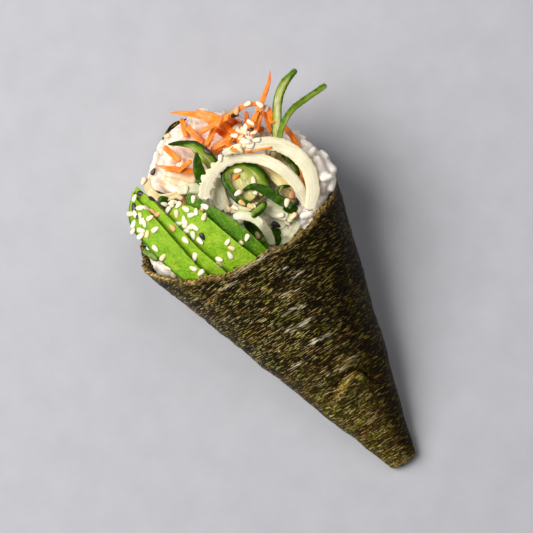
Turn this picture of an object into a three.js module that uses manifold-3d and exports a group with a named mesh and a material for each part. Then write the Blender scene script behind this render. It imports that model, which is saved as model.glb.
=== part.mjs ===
// Temaki hand roll: a cone of toasted seaweed lying on its side, filled with sushi rice, fanned
// avocado, cucumber ribbons, carrot shreds and pickled ginger, and sprinkled with sesame.
// Millimetres, +Z up. The working axes start at the tip of the cone: +Y runs from the tip to the
// mouth and +X across it. The whole roll is moved at the end to stand over the middle of its box.
import * as THREE from "three";
import { mergeVertices } from "three/addons/utils/BufferGeometryUtils.js";
import { MeshSurfaceSampler } from "three/addons/math/MeshSurfaceSampler.js";
import Module from "manifold-3d";

const wasm = await Module();
wasm.setup();

// ---------------------------------------------------------------- driving dimensions
const MIDDLE_X = 4.92; // the box's middle, from the tip
const MIDDLE_Y = 80.78;
const TIP_WIDTH = 9.2; // the tip is folded flat, not sharp
const TIP_HEIGHT = 4.5;
const WIDENING = 0.626; // growth of the cone's width for each mm from the tip
const RISING = 0.45; // and of its height
const DRIFT = -0.023; // sideways drift of its middle
const TIP_X = 1.4;
const UNDERSIDE = 1.35; // the power of the section's underside: over 1 is flatter than round
const PRESSED = 0.3; // depth of the strip that is pressed flat on the table
const SHEET = 0.8; // seaweed, two plies
const PLY = 0.8; // step where the outer end of the sheet lies over the cone
const SEAM = 196; // its place round the cone, degrees from +X over the top
const SEAM_SLOPE = 1.2; // degrees that the step takes
const CAVITY = 9; // the inside starts this far from the tip
const BLUNT = 0.9; // the tip's end face is this much smaller than the section behind it
const LIP_START = 136; // the long corner of the sheet curls up from here
const LIP_CURL = 0.0125;
const GAP = 0.4; // left between pieces that touch
const SLICE = 2.6; // thickness of an avocado slice
const LEAN = THREE.MathUtils.degToRad(33); // the slices lean on each other like tiles
const TUCKED = 4; // width of a slice that hides under its neighbour
const SEED = [1.75, 1.05, 0.5]; // half sizes of a sesame seed
const GRAIN = [3.1, 1.35, 1.25]; // half sizes of a cooked grain of rice
const GRAINS = 78;
const GRAIN_SPACING = 4.8;
const SEED_SPACING = 2.7;
const BARE = 97; // no loose grains nearer the tip than this, where toppings cover the rice

// Distance of the sheet's edge from the tip, round the cone from +X over the top.
const RIM = [
  [0, 108.5], [30, 101.5], [60, 96.6], [90, 96.6], [120, 99.2], [145, 104.8], [165, 112],
  [190, 117], [210, 123.5], [232, 133], [250, 144.5], [264, 157], [274, 157], [297, 140],
  [325, 124], [345, 113.5],
];
// Height of the rice along the roll, and where it ends at its right and left.
const BED = [[14, 30], [60, 27], [82, 24.5], [92, 29.5], [102, 32], [110, 31.5], [120, 29],
  [130, 25.5], [140, 20.5], [150, 15.5], [157, 10]];
const BED_COVERED = 70; // nearer the tip than this the rice fills the cone
const RICE_STATIONS = [16, 40, 62, 76, 86, 94, 101, 108, 115, 122, 129, 136, 142, 148, 153, 157];
const CROWN = 0.22; // how much lower the bed is at its sides, as a share of its height
const HEAPED = 7; // the rice is piled this much higher by the right-hand rim
const HEAPED_ACROSS = [14, 27]; // it rises between these distances from the middle
const HEAPED_ALONG = [104, 122]; // and falls again between these distances from the tip
const BED_RIGHT = [[104, 38], [112, 39.5], [120, 38.6], [127, 34.8], [135, 27.5], [142, 20.5],
  [151, 12.5], [157, 5]];
const BED_LEFT = [[104, -38], [112, -38], [120, -37], [128, -33.5], [136, -26.5], [145, -18],
  [151, -13], [157, -4]];
// Edges between the avocado slices, [distance from the tip, across], from the left outline on.
const SLICE_EDGES = [
  [[82, -25.4], [105, -32], [117, -35.3], [125, -36.8], [131, -37.5], [137, -36.3], [142.7, -31.6]],
  [[82, -19.4], [100, -22.5], [107, -24.2], [120.5, -26.4], [131, -28.1], [139.5, -29.7]],
  [[82, -12.9], [100.3, -16.9], [111, -20.1], [124.5, -22.7], [132, -24.3], [140.4, -25.6]],
  [[82, 0.2], [97.3, -4.1], [105.3, -7], [120, -11.3], [128.2, -13.3]],
  [[82, 5.4], [96.8, 0.9], [106, -1.2], [117, -5.2], [123.4, -8.5], [129.3, -10.6]],
];
const SLICE_TIPS = [143.3, 144, 129.6, 131];
const SLICE_START = 83; // the slices' lower ends, hidden inside the cone
const ROUNDING = 0.6; // share of its length after which a slice narrows to its tip
const LEAST = 0.12; // width of the tip's end, as a share of the slice's

// ---------------------------------------------------------------- small tools
function random(seed) {
  let state = seed;
  return () => {
    state = (state + 0x6d2b79f5) | 0;
    let t = Math.imul(state ^ (state >>> 15), 1 | state);
    t = (t + Math.imul(t ^ (t >>> 7), 61 | t)) ^ t;
    return ((t ^ (t >>> 14)) >>> 0) / 4294967296;
  };
}

// A smooth function through [key, value] pairs, level beyond its ends.
function through(keys) {
  const slope = keys.map((k, i) => {
    const a = keys[Math.max(i - 1, 0)];
    const b = keys[Math.min(i + 1, keys.length - 1)];
    return (b[1] - a[1]) / (b[0] - a[0]);
  });
  return (at) => {
    if (at <= keys[0][0]) return keys[0][1];
    if (at >= keys.at(-1)[0]) return keys.at(-1)[1];
    const i = keys.findIndex((k) => k[0] > at) - 1;
    const span = keys[i + 1][0] - keys[i][0];
    const t = (at - keys[i][0]) / span;
    const bend = (1 - t) * (slope[i] * span) * t * (1 - t) - t * (slope[i + 1] * span) * t * (1 - t);
    return keys[i][1] + (keys[i + 1][1] - keys[i][1]) * t * t * (3 - 2 * t) + bend;
  };
}

// The same through angles that close on themselves.
function around(keys) {
  const turn = (by) => keys.map(([k, v]) => [k + by, v]);
  const smooth = through([...turn(-360), ...turn(0), ...turn(360)]);
  return (angle) => smooth(((angle % 360) + 360) % 360);
}

// A closed skin over rings of points, with a fan over each end.
function loft(rings) {
  const n = rings[0].length;
  const middle = (ring) => ring.reduce((s, p) => s.add(p), new THREE.Vector3()).divideScalar(n);
  const points = [...rings.flat(), middle(rings[0]), middle(rings.at(-1))];
  const index = [];
  for (let r = 0; r + 1 < rings.length; r++) {
    for (let i = 0; i < n; i++) {
      const a = r * n + i;
      const b = r * n + ((i + 1) % n);
      index.push(a, b, b + n, a, b + n, a + n);
    }
  }
  const last = (rings.length - 1) * n;
  for (let i = 0; i < n; i++) {
    const j = (i + 1) % n;
    index.push(points.length - 2, j, i, points.length - 1, last + i, last + j);
  }
  const geometry = new THREE.BufferGeometry().setFromPoints(points).setIndex(index);
  if (volume(geometry) < 0) geometry.setIndex(index.reverse());
  return geometry;
}

function volume(geometry) {
  const p = geometry.getAttribute("position");
  const corner = (k) => new THREE.Vector3().fromBufferAttribute(p, geometry.index.getX(k));
  let sum = 0;
  for (let k = 0; k < geometry.index.count; k += 3) {
    sum += corner(k).dot(corner(k + 1).cross(corner(k + 2)));
  }
  return sum / 6;
}

function toManifold(geometry) {
  const bare = new THREE.BufferGeometry();
  bare.setAttribute("position", geometry.getAttribute("position"));
  bare.setIndex(geometry.index);
  const merged = mergeVertices(bare, 1e-3);
  return new wasm.Manifold(
    new wasm.Mesh({
      numProp: 3,
      vertProperties: merged.getAttribute("position").array,
      triVerts: new Uint32Array(merged.index.array),
    }),
  );
}

function toGeometry(manifold) {
  const mesh = manifold.getMesh();
  const geometry = new THREE.BufferGeometry();
  geometry.setAttribute("position", new THREE.BufferAttribute(mesh.vertProperties, 3));
  geometry.setIndex(new THREE.BufferAttribute(mesh.triVerts, 1));
  return geometry;
}

// ---------------------------------------------------------------- the seaweed cone
const rim = around(RIM);
const frayed = (angle) => {
  const a = THREE.MathUtils.degToRad(angle);
  return rim(angle) + 0.5 * Math.sin(9 * a) + 0.4 * Math.sin(17 * a + 1);
};
const coneWidth = (y) => TIP_WIDTH / 2 + (WIDENING / 2) * y;
const coneHeight = (y) => TIP_HEIGHT + RISING * y;
const coneMiddle = (y) => TIP_X + DRIFT * y;
const lipLift = (y) => LIP_CURL * Math.max(0, y - LIP_START) ** 2;

// A point of the cone's wall, inset from its outside. The angle runs from +X over the top.
function wallPoint(degrees, y, inset) {
  const angle = THREE.MathUtils.degToRad(degrees);
  const s = Math.sin(angle);
  const height = coneHeight(y) - 2 * inset;
  const raw = s > 0 ? (height * (1 + s)) / 2 : (height * (1 + s) ** UNDERSIDE) / 2;
  const z = (Math.max(0, raw - PRESSED) * height) / (height - PRESSED);
  const x = coneMiddle(y) + (coneWidth(y) - inset) * Math.cos(angle);
  return new THREE.Vector3(x, y, inset + z + lipLift(y));
}

// The angle of the wall over a place, up to 180 degrees, or none beside the cone.
function angleOver(x, y, inset) {
  const across = (x - coneMiddle(y)) / (coneWidth(y) - inset);
  return Math.abs(across) < 1 ? THREE.MathUtils.radToDeg(Math.acos(across)) : NaN;
}

// Inner height of the cone above a place, where the sheet covers it.
function ceiling(x, y) {
  const degrees = angleOver(x, y, SHEET);
  if (Number.isNaN(degrees) || y > frayed(degrees) + 1) return Infinity;
  return wallPoint(degrees, y, SHEET).z;
}

// The sheet, from the tip over its outside to the rim and back along its inside.
function noriGeometry() {
  const OUTSIDE = [0, 0.012, 0.1, 0.25, 0.4, 0.55, 0.7, 0.81, 0.9, 0.96, 1];
  const INSIDE = [1, 0.97, 0.92, 0.86, 0.8, 0.6, 0.3, 0];
  const SIDES = 40;
  const angles = Array.from(
    { length: SIDES + 1 },
    (_, i) => SEAM + SEAM_SLOPE / 2 + (i * (360 - SEAM_SLOPE)) / SIDES,
  );
  const outer = (s) =>
    angles.map((degrees) => {
      const wrapped = PLY * ((degrees - SEAM) / 360);
      const angle = THREE.MathUtils.degToRad(degrees);
      const p = wallPoint(degrees, s * frayed(degrees), 0);
      p.x += wrapped * Math.cos(angle);
      p.z = Math.max(p.z + wrapped * Math.sin(angle), lipLift(p.y));
      return p;
    });
  const inner = (s) =>
    angles.map((degrees) => wallPoint(degrees, CAVITY + s * (frayed(degrees) - CAVITY), SHEET));
  const out = OUTSIDE.map(outer);
  for (const p of out[0]) {
    p.x = THREE.MathUtils.lerp(TIP_X, p.x, BLUNT);
    p.z = THREE.MathUtils.lerp(TIP_HEIGHT / 2, p.z, BLUNT);
  }
  return loft([...out, ...INSIDE.map(inner)]);
}

// ---------------------------------------------------------------- the rice
const bed = through(BED);
const bedRight = through(BED_RIGHT);
const bedLeft = through(BED_LEFT);

function bedHeight(x, y) {
  const across = Math.min(Math.abs(x - coneMiddle(y)) / coneWidth(y), 1.1);
  const byTheRim =
    THREE.MathUtils.smoothstep(x, ...HEAPED_ACROSS) *
    (1 - THREE.MathUtils.smoothstep(y, ...HEAPED_ALONG));
  return bed(y) * (1 - CROWN * across ** 3) + HEAPED * byTheRim;
}

// A ring of the rice: it fills the cone below and is rounded where its floor meets its top.
function riceRing(y) {
  const SIDES = 28;
  const SQUARE = 8; // power of its rounding: higher is squarer
  const LEAST_HEIGHT = 0.6;
  const SEARCH = 0.25;
  const inset = SHEET + GAP * 1.6;
  const floor = (x) => wallPoint(-angleOver(x, y, inset), y, inset).z;
  const top = (x) => Math.min(bedHeight(x, y), wallPoint(angleOver(x, y, inset), y, inset).z);
  const reach = (side, limit) => {
    const wall = coneMiddle(y) + side * (coneWidth(y) - inset - 0.01);
    let x = side > 0 ? Math.min(limit, wall) : Math.max(limit, wall);
    while (y > BED_COVERED && top(x) < floor(x) + LEAST_HEIGHT) x -= side * SEARCH;
    return x;
  };
  const right = reach(1, bedRight(y));
  const left = reach(-1, bedLeft(y));
  return Array.from({ length: SIDES }, (_, i) => {
    const turn = (i / SIDES) * 2 * Math.PI;
    const u = Math.cos(turn);
    const x = (right + left) / 2 + ((right - left) / 2) * u;
    const half = ((top(x) - floor(x)) / 2) * Math.sqrt(1 - u ** SQUARE) * Math.sign(Math.sin(turn));
    const side = i % (SIDES / 2) === 0;
    return new THREE.Vector3(x, y, (top(x) + floor(x)) / 2 + (side ? 0 : half));
  });
}

// ---------------------------------------------------------------- the pile
// Heights of what lies on the bed so far, on a grid of 1 mm squares. Each new strip is laid on it.
const pile = new Map();
const cell = (x, y) => Math.round(x) * 1000 + Math.round(y);
const heap = (x, y, z) => pile.set(cell(x, y), Math.max(pile.get(cell(x, y)) ?? 0, z));

function under(x, y) {
  const riceThere = y < RICE_STATIONS.at(-1) && x < bedRight(y) && x > bedLeft(y);
  return Math.max(pile.get(cell(x, y)) ?? 0, riceThere ? bedHeight(x, y) : 0);
}

const SAMPLES = 40;
const SECTION = [[1, 0], [0.6, 1], [-0.6, 1], [-1, 0], [-0.6, -1], [0.6, -1]];
const END = 0.7; // a strip's end faces are this much smaller
const FEELING = [-1.4, -1, -0.5, 0, 0.5, 1, 1.4]; // where a strip feels for what is under it
const MARGIN = 0.6; // and this far to each side of those places, for the squares of the grid

// Lays a strip: its path in plan, its width along it, and its thickness. rise is the least height
// of its two ends, for those that stand out past the rice, and slack is how softly it drapes.
function laid({ path, width, thick, rise = [0, 0], slack = 60, step = 3.2 }) {
  const points = path.map(([x, y]) => new THREE.Vector3(x, y, 0));
  const plan = new THREE.CatmullRomCurve3(points, false, "centripetal");
  const steps = Math.max(4, Math.round(plan.getLength() / step));
  const widths = through(width.map((w, i) => [i / (width.length - 1), w]));
  const spots = Array.from({ length: SAMPLES + 1 }, (_, i) => {
    const t = i / SAMPLES;
    const at = plan.getPointAt(t);
    const along = plan.getTangentAt(t);
    return { t, at, side: new THREE.Vector3(-along.y, along.x, 0), half: widths(t) / 2 };
  });
  const heights = spots.map(({ t, at, side, half }) => {
    let rest = THREE.MathUtils.lerp(rise[0], rise[1], t);
    for (const k of FEELING) {
      const x = at.x + side.x * half * k;
      const y = at.y + side.y * half * k;
      for (const dx of [-MARGIN, MARGIN]) {
        for (const dy of [-MARGIN, MARGIN]) rest = Math.max(rest, under(x + dx, y + dy) + GAP);
      }
    }
    return rest + thick / 2;
  });
  for (let pass = 0; pass < slack; pass++) {
    for (let i = 1; i < SAMPLES; i++) {
      heights[i] = Math.max(heights[i], (heights[i - 1] + heights[i + 1]) / 2);
    }
  }
  const stride = SAMPLES / steps;
  const stations = Array.from({ length: steps + 1 }, (_, s) => {
    const from = Math.max(0, Math.floor((s - 1) * stride));
    return Math.max(...heights.slice(from, Math.ceil((s + 1) * stride) + 1));
  });
  const lifted = (t) => {
    const s = Math.min(t * steps, steps - 1e-6);
    const i = Math.floor(s);
    return THREE.MathUtils.lerp(stations[i], stations[i + 1], s - i);
  };
  for (const { t, at, side, half } of spots) {
    for (let k = -1; k <= 1; k += 0.25) {
      heap(at.x + side.x * half * k, at.y + side.y * half * k, lifted(t) + thick / 2);
    }
  }
  const rings = stations.map((z, s) => {
    const t = s / steps;
    const at = plan.getPointAt(t);
    const along = plan.getTangentAt(t);
    const half = widths(t) / 2;
    const end = s === 0 || s === steps ? END : 1;
    const height = Math.min(z, ceiling(at.x, at.y) - GAP - thick / 2);
    return SECTION.map(([u, v]) =>
      new THREE.Vector3(
        at.x - along.y * half * u * end,
        at.y + along.x * half * u * end,
        height + (thick / 2) * v * end,
      ),
    );
  });
  return loft(rings);
}

// ---------------------------------------------------------------- avocado
const edges = SLICE_EDGES.map(through);
const slope = Math.tan(LEAN);
const drop = SLICE / Math.cos(LEAN) + GAP;
const SEAT = 4.4; // height of the first slice's low edge over the rice

// Top of slice k at its left edge: each slice starts lower than its neighbour ends.
function sliceLow(k, y) {
  const start = bed(y) + SEAT;
  return k === 0 ? start : sliceLow(k - 1, y) + slope * (edges[k](y) - edges[k - 1](y)) - drop;
}

// Half of a slice's section: places across, from its middle, and down through its thickness.
const SLICE_RIGHT = [[0.86, 0], [1, 0.3], [0.93, 0.8], [0.8, 1]];
const SLICE_LEFT = SLICE_RIGHT.map(([u, down]) => [-u, down]).reverse();

function sliceGeometry(k) {
  const STEPS = 12;
  const rings = [];
  for (let i = 0; i <= STEPS; i++) {
    const t = i / STEPS;
    const y = THREE.MathUtils.lerp(SLICE_START, SLICE_TIPS[k], 1 - (1 - t) ** 1.6);
    const past = Math.max(0, (t - ROUNDING) / (1 - ROUNDING));
    const narrow = Math.sqrt(1 - past ** 2.4);
    const hidden = k === 0 ? 0 : TUCKED * narrow;
    const left = edges[k](y) - hidden;
    const right = edges[k + 1](y);
    const bent = k === 0 ? (right - left) * 0.25 * (1 - narrow) : 0; // the first tip bends right
    const half = ((right - left) / 2) * Math.max(narrow, LEAST);
    const face = (x) => sliceLow(k, y) + slope * (x - edges[k](y));
    rings.push(
      [...SLICE_RIGHT, ...SLICE_LEFT].map(([u, down]) => {
        const x = (left + right) / 2 + bent + half * u;
        return new THREE.Vector3(x, y, face(x) - (SLICE / Math.cos(LEAN)) * down);
      }),
    );
  }
  return loft(rings);
}

// ---------------------------------------------------------------- strips, in the order they lie
const CUCUMBER = [
  { thick: 1.6, width: [1.6, 2.6, 2], path: [[-38.6, 122.6], [-37, 119.8], [-35.6, 116]] },
  { thick: 1.4, width: [2.6, 4, 3], path: [[-24, 139], [-21.5, 134.5], [-18.5, 130]] },
  { thick: 1.6, width: [5, 7.4, 6], path: [[6.4, 131], [8, 123.5], [8.4, 113.5]] },
  { thick: 1.6, width: [3.4, 4.2, 3.4], path: [[14.2, 128], [17.6, 119.5], [20, 110.5]] },
  { thick: 1.6, width: [3.6, 5.6, 4.4], path: [[-3, 129.2], [-3.9, 124], [-4.4, 118.5]] },
  { thick: 1.4, width: [2.2, 3.2, 2.4], path: [[20.2, 129.4], [23.4, 124.8], [24.8, 118.6]] },
  { thick: 1.4, width: [1.4, 2.2, 1.6], path: [[23.6, 127.6], [25.6, 121.5], [25.8, 114.5]] },
  {
    thick: 1.4, width: [2.4, 3.4, 3.4, 3.2, 2.4],
    path: [[-23, 144.4], [-24.2, 139.8], [-22.6, 135.6], [-17, 133.2], [-12.6, 132.8]],
  },
  { thick: 1.4, width: [2.8, 3.8, 3], path: [[-15.8, 133.9], [-11, 132.1], [-6, 128.4]] },
  {
    thick: 1.7, width: [2.8, 3.4, 3.2, 2.8],
    path: [[4.6, 107], [8, 105.4], [10.4, 101.6], [9.6, 97.6]],
  },
  {
    thick: 1.7, width: [2.8, 3.8, 3.8, 3.4],
    path: [[6, 112.4], [10, 110.6], [13, 106.4], [14.8, 101.4]],
  },
  { thick: 1.3, width: [1.4, 2.2, 1.6], path: [[-2.8, 118], [0.2, 115.2], [7.4, 113.4]] },
  {
    thick: 1.7, width: [0.8, 2, 3.4, 5, 5.2, 4],
    path: [[-9.2, 150.6], [-4.7, 148.2], [-1.4, 145.2], [0, 141], [0.8, 137], [0.4, 133]],
  },
  {
    thick: 1.2, width: [1, 3.5, 4.5, 3.6],
    path: [[-1.8, 142.2], [-3.6, 138.6], [-5, 134.8], [-6.2, 130.6]],
  },
  {
    thick: 2, rise: [30, 33], width: [3, 3, 3.1, 3.2, 3.2, 2.6],
    path: [[19.5, 124], [26.1, 130.6], [29.6, 135.6], [33.9, 141.7], [38.8, 145.5], [45, 147.6]],
  },
  {
    thick: 1.8, rise: [30, 33], width: [2, 2, 2.1, 2.1, 2],
    path: [[24, 127], [30.4, 133], [36.6, 136], [44.5, 136.8], [52.4, 137.1]],
  },
  {
    thick: 1.7, width: [2.2, 3, 3, 3, 3.2, 4.2, 5.6, 7, 6.8, 4.8],
    path: [
      [4.8, 114.2], [2, 118.3], [1.4, 122.4], [1.4, 126.6], [3.2, 130], [6.4, 130.4], [9.6, 128],
      [11.6, 124.2], [12.1, 119.6], [12.4, 115.4],
    ],
  },
  {
    thick: 1.5, width: [1, 2.8, 3.6, 3.6, 2.6],
    path: [[4.8, 120.8], [8.9, 119.9], [12.2, 115.8], [14.4, 110.8], [17.2, 105.6]],
  },
  {
    thick: 1, width: [0.9, 1.3, 1.3, 0.9],
    path: [[14.6, 112.6], [16.2, 114.4], [18.4, 113.8], [20.8, 112.4]],
  },
  { thick: 1.5, width: [2, 2.8, 1.6], path: [[2.7, 111], [6.1, 112.2], [9.8, 112]] },
  {
    thick: 1.7, width: [2.4, 3.3, 3.4, 3.3, 3.2, 3],
    path: [[-3.6, 114.3], [0.3, 112.5], [3, 109.4], [4.3, 104.6], [4, 100.4], [3, 97.4]],
  },
  {
    thick: 1.8, width: [4.6, 4.4, 3.8, 3.6, 3.6, 3.8, 3.8, 3.6, 3.2],
    path: [
      [-8.8, 125.6], [-6, 129], [-2, 131.6], [4, 133.2], [10, 132], [16.4, 127.3], [20.8, 120.6],
      [22.9, 112], [22.2, 102.6],
    ],
  },
  {
    thick: 1.8, width: [3, 3.6, 4, 4.6, 4.9, 4.9, 4.4, 3.6],
    path: [
      [6, 136.2], [12.6, 134.4], [19.6, 131.8], [25, 127.8], [28.6, 121.6], [29.6, 115],
      [26.9, 107], [21.6, 101],
    ],
  },
];
const CARROT = [
  { width: [1.6, 2, 1.8], path: [[0.5, 157.2], [-0.8, 153.5], [-2.1, 149.8]] },
  { width: [2, 2.6, 2.2], path: [[0.5, 153], [1.2, 149], [1.9, 144.2]] },
  { width: [2, 2.7, 2.3], path: [[-10.8, 151.4], [-9.8, 147], [-8.5, 142.6]] },
  { width: [0.7, 2.3, 2], path: [[-17, 146.1], [-12.3, 141.5], [-5.8, 136.3]] },
  { width: [1.4, 1.9, 1.6], path: [[-11.6, 139.6], [-8, 140.4], [-5, 140.6]] },
  { width: [2.6, 4.2, 3], path: [[8.3, 151], [12, 145.4], [14, 139]] },
  { width: [1.8, 2.1, 1.6], path: [[12, 142.4], [18.7, 138.6], [24.6, 136.3]] },
  { width: [2, 2.3, 2], path: [[2, 139.7], [7.3, 139.3], [14, 140]] },
  { width: [1.7, 2, 1.6], path: [[9.4, 147.3], [5.5, 144.3], [2.4, 141.9]] },
  { width: [1.2, 1.9, 1.6], path: [[22.4, 145.8], [19.4, 140.4], [15.4, 135.6]] },
  { width: [1.8, 2.1, 1.6], path: [[13.2, 136.6], [21.2, 139.7], [27.4, 142.3]] },
  { width: [1.6, 2.3, 2], path: [[26.2, 141.4], [21.5, 137.2], [15.8, 134.4]] },
  { width: [1, 1.5, 1.3], path: [[28.4, 143], [27.4, 138.4], [25.7, 132.6]] },
  { width: [1, 1.4, 1.2], path: [[27.4, 145], [29.2, 141.5], [29.2, 137.2]] },
  { rise: [14, 24], width: [0.6, 2.6, 3.4], path: [[-2.3, 161.4], [4.2, 156], [12.2, 149]] },
  {
    rise: [20, 22], width: [1.8, 2.1, 2.1, 2, 1.5],
    path: [[3.2, 148.1], [8, 147.4], [15, 147], [23, 146.9], [27.8, 144.4]],
  },
  {
    rise: [31, 22], width: [0.6, 1.7, 2, 2.3, 2.3],
    path: [[38, 153.7], [36.3, 149.5], [31, 146], [25, 142.6], [19.6, 138.8]],
  },
  {
    width: [2.4, 2.7, 2.5, 2.3, 2],
    path: [[30.9, 133.4], [31.4, 128], [30.4, 122], [28, 116.4], [25.3, 108.6]],
  },
];
const GINGER = [
  { thick: 1.1, width: [5, 7.6, 5.4], path: [[-18.6, 141.6], [-15.4, 137.6], [-11.6, 132.6]] },
  { thick: 1.1, width: [4.4, 6.8, 5], path: [[-16.6, 142.4], [-12, 138], [-8.4, 133]] },
];

// The order in which they are laid: kind, first and last.
const LAYING = [
  ["ginger_slice", 1, 2],
  ["carrot_shred", 1, 5],
  ["cucumber_strip", 1, 9],
  ["carrot_shred", 6, 18],
  ["cucumber_strip", 10, 23],
];
const CARROT_CUT = { thick: 1.3, slack: 900, step: 4 };

// ---------------------------------------------------------------- the pieces
const finish = (color, roughness) =>
  new THREE.MeshStandardMaterial({ color, roughness, metalness: 0 });
const NORI = finish("#3a3216", 0.7);
const RICE = finish("#ece7dd", 0.45);
const FLESH = finish("#86bb3a", 0.5);
const PALE = finish("#c9cf94", 0.35);
const ORANGE = finish("#f38a3c", 0.4);
const PEACH = finish("#eec3a0", 0.35);

const pieces = [];
function add(name, geometry, material) {
  const mesh = new THREE.Mesh(geometry, material);
  mesh.name = name;
  mesh.geometry.computeBoundingBox();
  pieces.push({ mesh, solid: toManifold(geometry) });
}
const numbered = (stem, i) => `${stem}_${String(i).padStart(2, "0")}`;

add("nori_wrap", noriGeometry(), NORI);
add("rice_bed", loft(RICE_STATIONS.map(riceRing)), RICE);
const strips = {
  ginger_slice: { list: GINGER, cut: {}, material: PEACH },
  carrot_shred: { list: CARROT, cut: CARROT_CUT, material: ORANGE },
  cucumber_strip: { list: CUCUMBER, cut: {}, material: PALE },
};
for (const [stem, from, to] of LAYING) {
  const { list, cut, material } = strips[stem];
  for (let i = from; i <= to; i++) add(numbered(stem, i), laid({ ...cut, ...list[i - 1] }), material);
}
SLICE_TIPS.forEach((_, k) => add(numbered("avocado_slice", k + 1), sliceGeometry(k), FLESH));

// ---------------------------------------------------------------- sesame and loose grains
// An egg of few sides that lies at a point of a surface, turned about its normal.
function egg(half, grow, at, normal, spin, depth) {
  const geometry = new THREE.SphereGeometry(1, 4, 3);
  const lie = new THREE.Quaternion().setFromUnitVectors(new THREE.Vector3(0, 0, 1), normal);
  lie.multiply(new THREE.Quaternion().setFromAxisAngle(new THREE.Vector3(0, 0, 1), spin));
  const middle = at.clone().addScaledVector(normal, half[2] * depth);
  const size = new THREE.Vector3(...half).addScalar(grow);
  // The sphere's poles lie along the length, so that its ends are pointed.
  geometry.rotateZ(Math.PI / 2);
  return geometry.applyMatrix4(new THREE.Matrix4().compose(middle, lie, size));
}

// Fuses an egg to its piece, where it leaves a gap to every other piece.
function fuse(piece, shape) {
  const test = shape(GAP);
  test.computeBoundingBox();
  const solid = toManifold(test);
  const clear = pieces.every(
    (other) =>
      other === piece ||
      !other.mesh.geometry.boundingBox.intersectsBox(test.boundingBox) ||
      other.solid.intersect(solid).isEmpty(),
  );
  if (clear) {
    piece.solid = piece.solid.add(toManifold(shape(0)));
    piece.mesh.geometry.boundingBox.union(test.boundingBox);
  }
  return clear;
}

// The solid without what fusing sealed inside it or cut loose.
function whole(solid) {
  const bodies = solid.decompose().filter((body) => body.volume() > 0);
  return bodies.reduce((most, body) => (body.volume() > most.volume() ? body : most));
}

const draw = random(7);
const spread = (reach) => ((draw() + draw() + draw() - 1.5) / 1.5) * 2 * reach;
const spaced = (at, placed, spacing) => placed.every((p) => p.distanceTo(at) > spacing);
const LEVEL = 0.5; // seeds stay where the surface's normal rises at least this much
const SUNK = 0.45; // height of a grain's or seed's middle over its surface, as a share of its half

function scatterGrains() {
  const rice = pieces[1];
  const sampler = new MeshSurfaceSampler(rice.mesh).setRandomGenerator(draw).build();
  const placed = [];
  const at = new THREE.Vector3();
  const normal = new THREE.Vector3();
  for (let tries = 0; tries < GRAINS * 40 && placed.length < GRAINS; tries++) {
    sampler.sample(at, normal);
    const spin = draw() * Math.PI * 2;
    const size = 0.85 + 0.3 * draw();
    const hidden = at.y < BARE || normal.z < -0.3 || ceiling(at.x, at.y) < Infinity;
    if (hidden || !spaced(at, placed, GRAIN_SPACING)) continue;
    const half = GRAIN.map((h) => h * size);
    const shape = (grow) => egg(half, grow, at, normal, spin, SUNK);
    if (fuse(rice, shape)) placed.push(at.clone());
  }
}

// Where the sesame fell: middle across and along, spread across and along, and how many.
const SESAME = [
  [-32, 132.5, 3.4, 7.5, 20], [-28, 141, 2.4, 2.4, 5], [-19.5, 119.5, 3, 4, 9],
  [-20, 130.5, 3, 2.6, 8], [-13.5, 126, 3, 4, 10], [-19, 107, 8, 4.5, 8], [-7, 105, 4.5, 3, 5],
  [8, 112, 11, 10, 16], [16.3, 137, 3, 3.4, 12], [24, 145, 5.5, 2.6, 5], [-14.5, 146.5, 7, 4.5, 7],
];

function scatterSesame() {
  const food = pieces.slice(1).map((piece) => piece.mesh);
  const ray = new THREE.Raycaster();
  const down = new THREE.Vector3(0, 0, -1);
  const placed = [];
  for (const [x, y, acrossReach, alongReach, count] of SESAME) {
    for (let left = count, tries = 0; left > 0 && tries < count * 10; tries++) {
      const from = new THREE.Vector3(x + spread(acrossReach), y + spread(alongReach), 100);
      const spin = draw() * Math.PI * 2;
      ray.set(from, down);
      const hit = ray.intersectObjects(food)[0];
      if (!hit || hit.face.normal.z < LEVEL || !spaced(hit.point, placed, SEED_SPACING)) continue;
      const piece = pieces.find(({ mesh }) => mesh === hit.object);
      const shape = (grow) => egg(SEED, grow, hit.point, hit.face.normal, spin, SUNK);
      if (!fuse(piece, shape)) continue;
      placed.push(hit.point);
      left--;
    }
  }
}

scatterGrains();
scatterSesame();

const roll = new THREE.Group();
for (const { mesh, solid } of pieces) {
  mesh.geometry = toGeometry(whole(solid));
  roll.add(mesh);
}

// ---------------------------------------------------------------- hand over
roll.position.set(-MIDDLE_X, -MIDDLE_Y, 0);
export default roll;
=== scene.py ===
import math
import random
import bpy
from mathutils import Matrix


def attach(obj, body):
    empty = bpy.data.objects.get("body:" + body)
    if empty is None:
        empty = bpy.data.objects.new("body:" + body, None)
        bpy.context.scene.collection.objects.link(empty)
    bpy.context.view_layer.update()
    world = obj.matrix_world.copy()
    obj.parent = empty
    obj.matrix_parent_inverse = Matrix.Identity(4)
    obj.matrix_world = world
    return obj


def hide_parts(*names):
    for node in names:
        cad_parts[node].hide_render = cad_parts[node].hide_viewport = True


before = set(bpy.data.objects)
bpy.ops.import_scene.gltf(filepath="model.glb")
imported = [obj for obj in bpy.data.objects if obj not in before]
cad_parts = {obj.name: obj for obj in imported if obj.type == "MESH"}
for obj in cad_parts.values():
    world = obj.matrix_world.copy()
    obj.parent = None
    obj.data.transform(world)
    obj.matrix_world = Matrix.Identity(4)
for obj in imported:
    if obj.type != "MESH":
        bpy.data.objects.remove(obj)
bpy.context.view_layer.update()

# Temaki hand roll: a cone of toasted seaweed with rice, avocado, cucumber, carrot, ginger and sesame.
# Sizes below are in millimetres. The working axes start at the tip of the cone: y runs from the tip
# to the mouth and x across it. placed() moves them to the roll's own frame, in metres.
from types import SimpleNamespace

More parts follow.
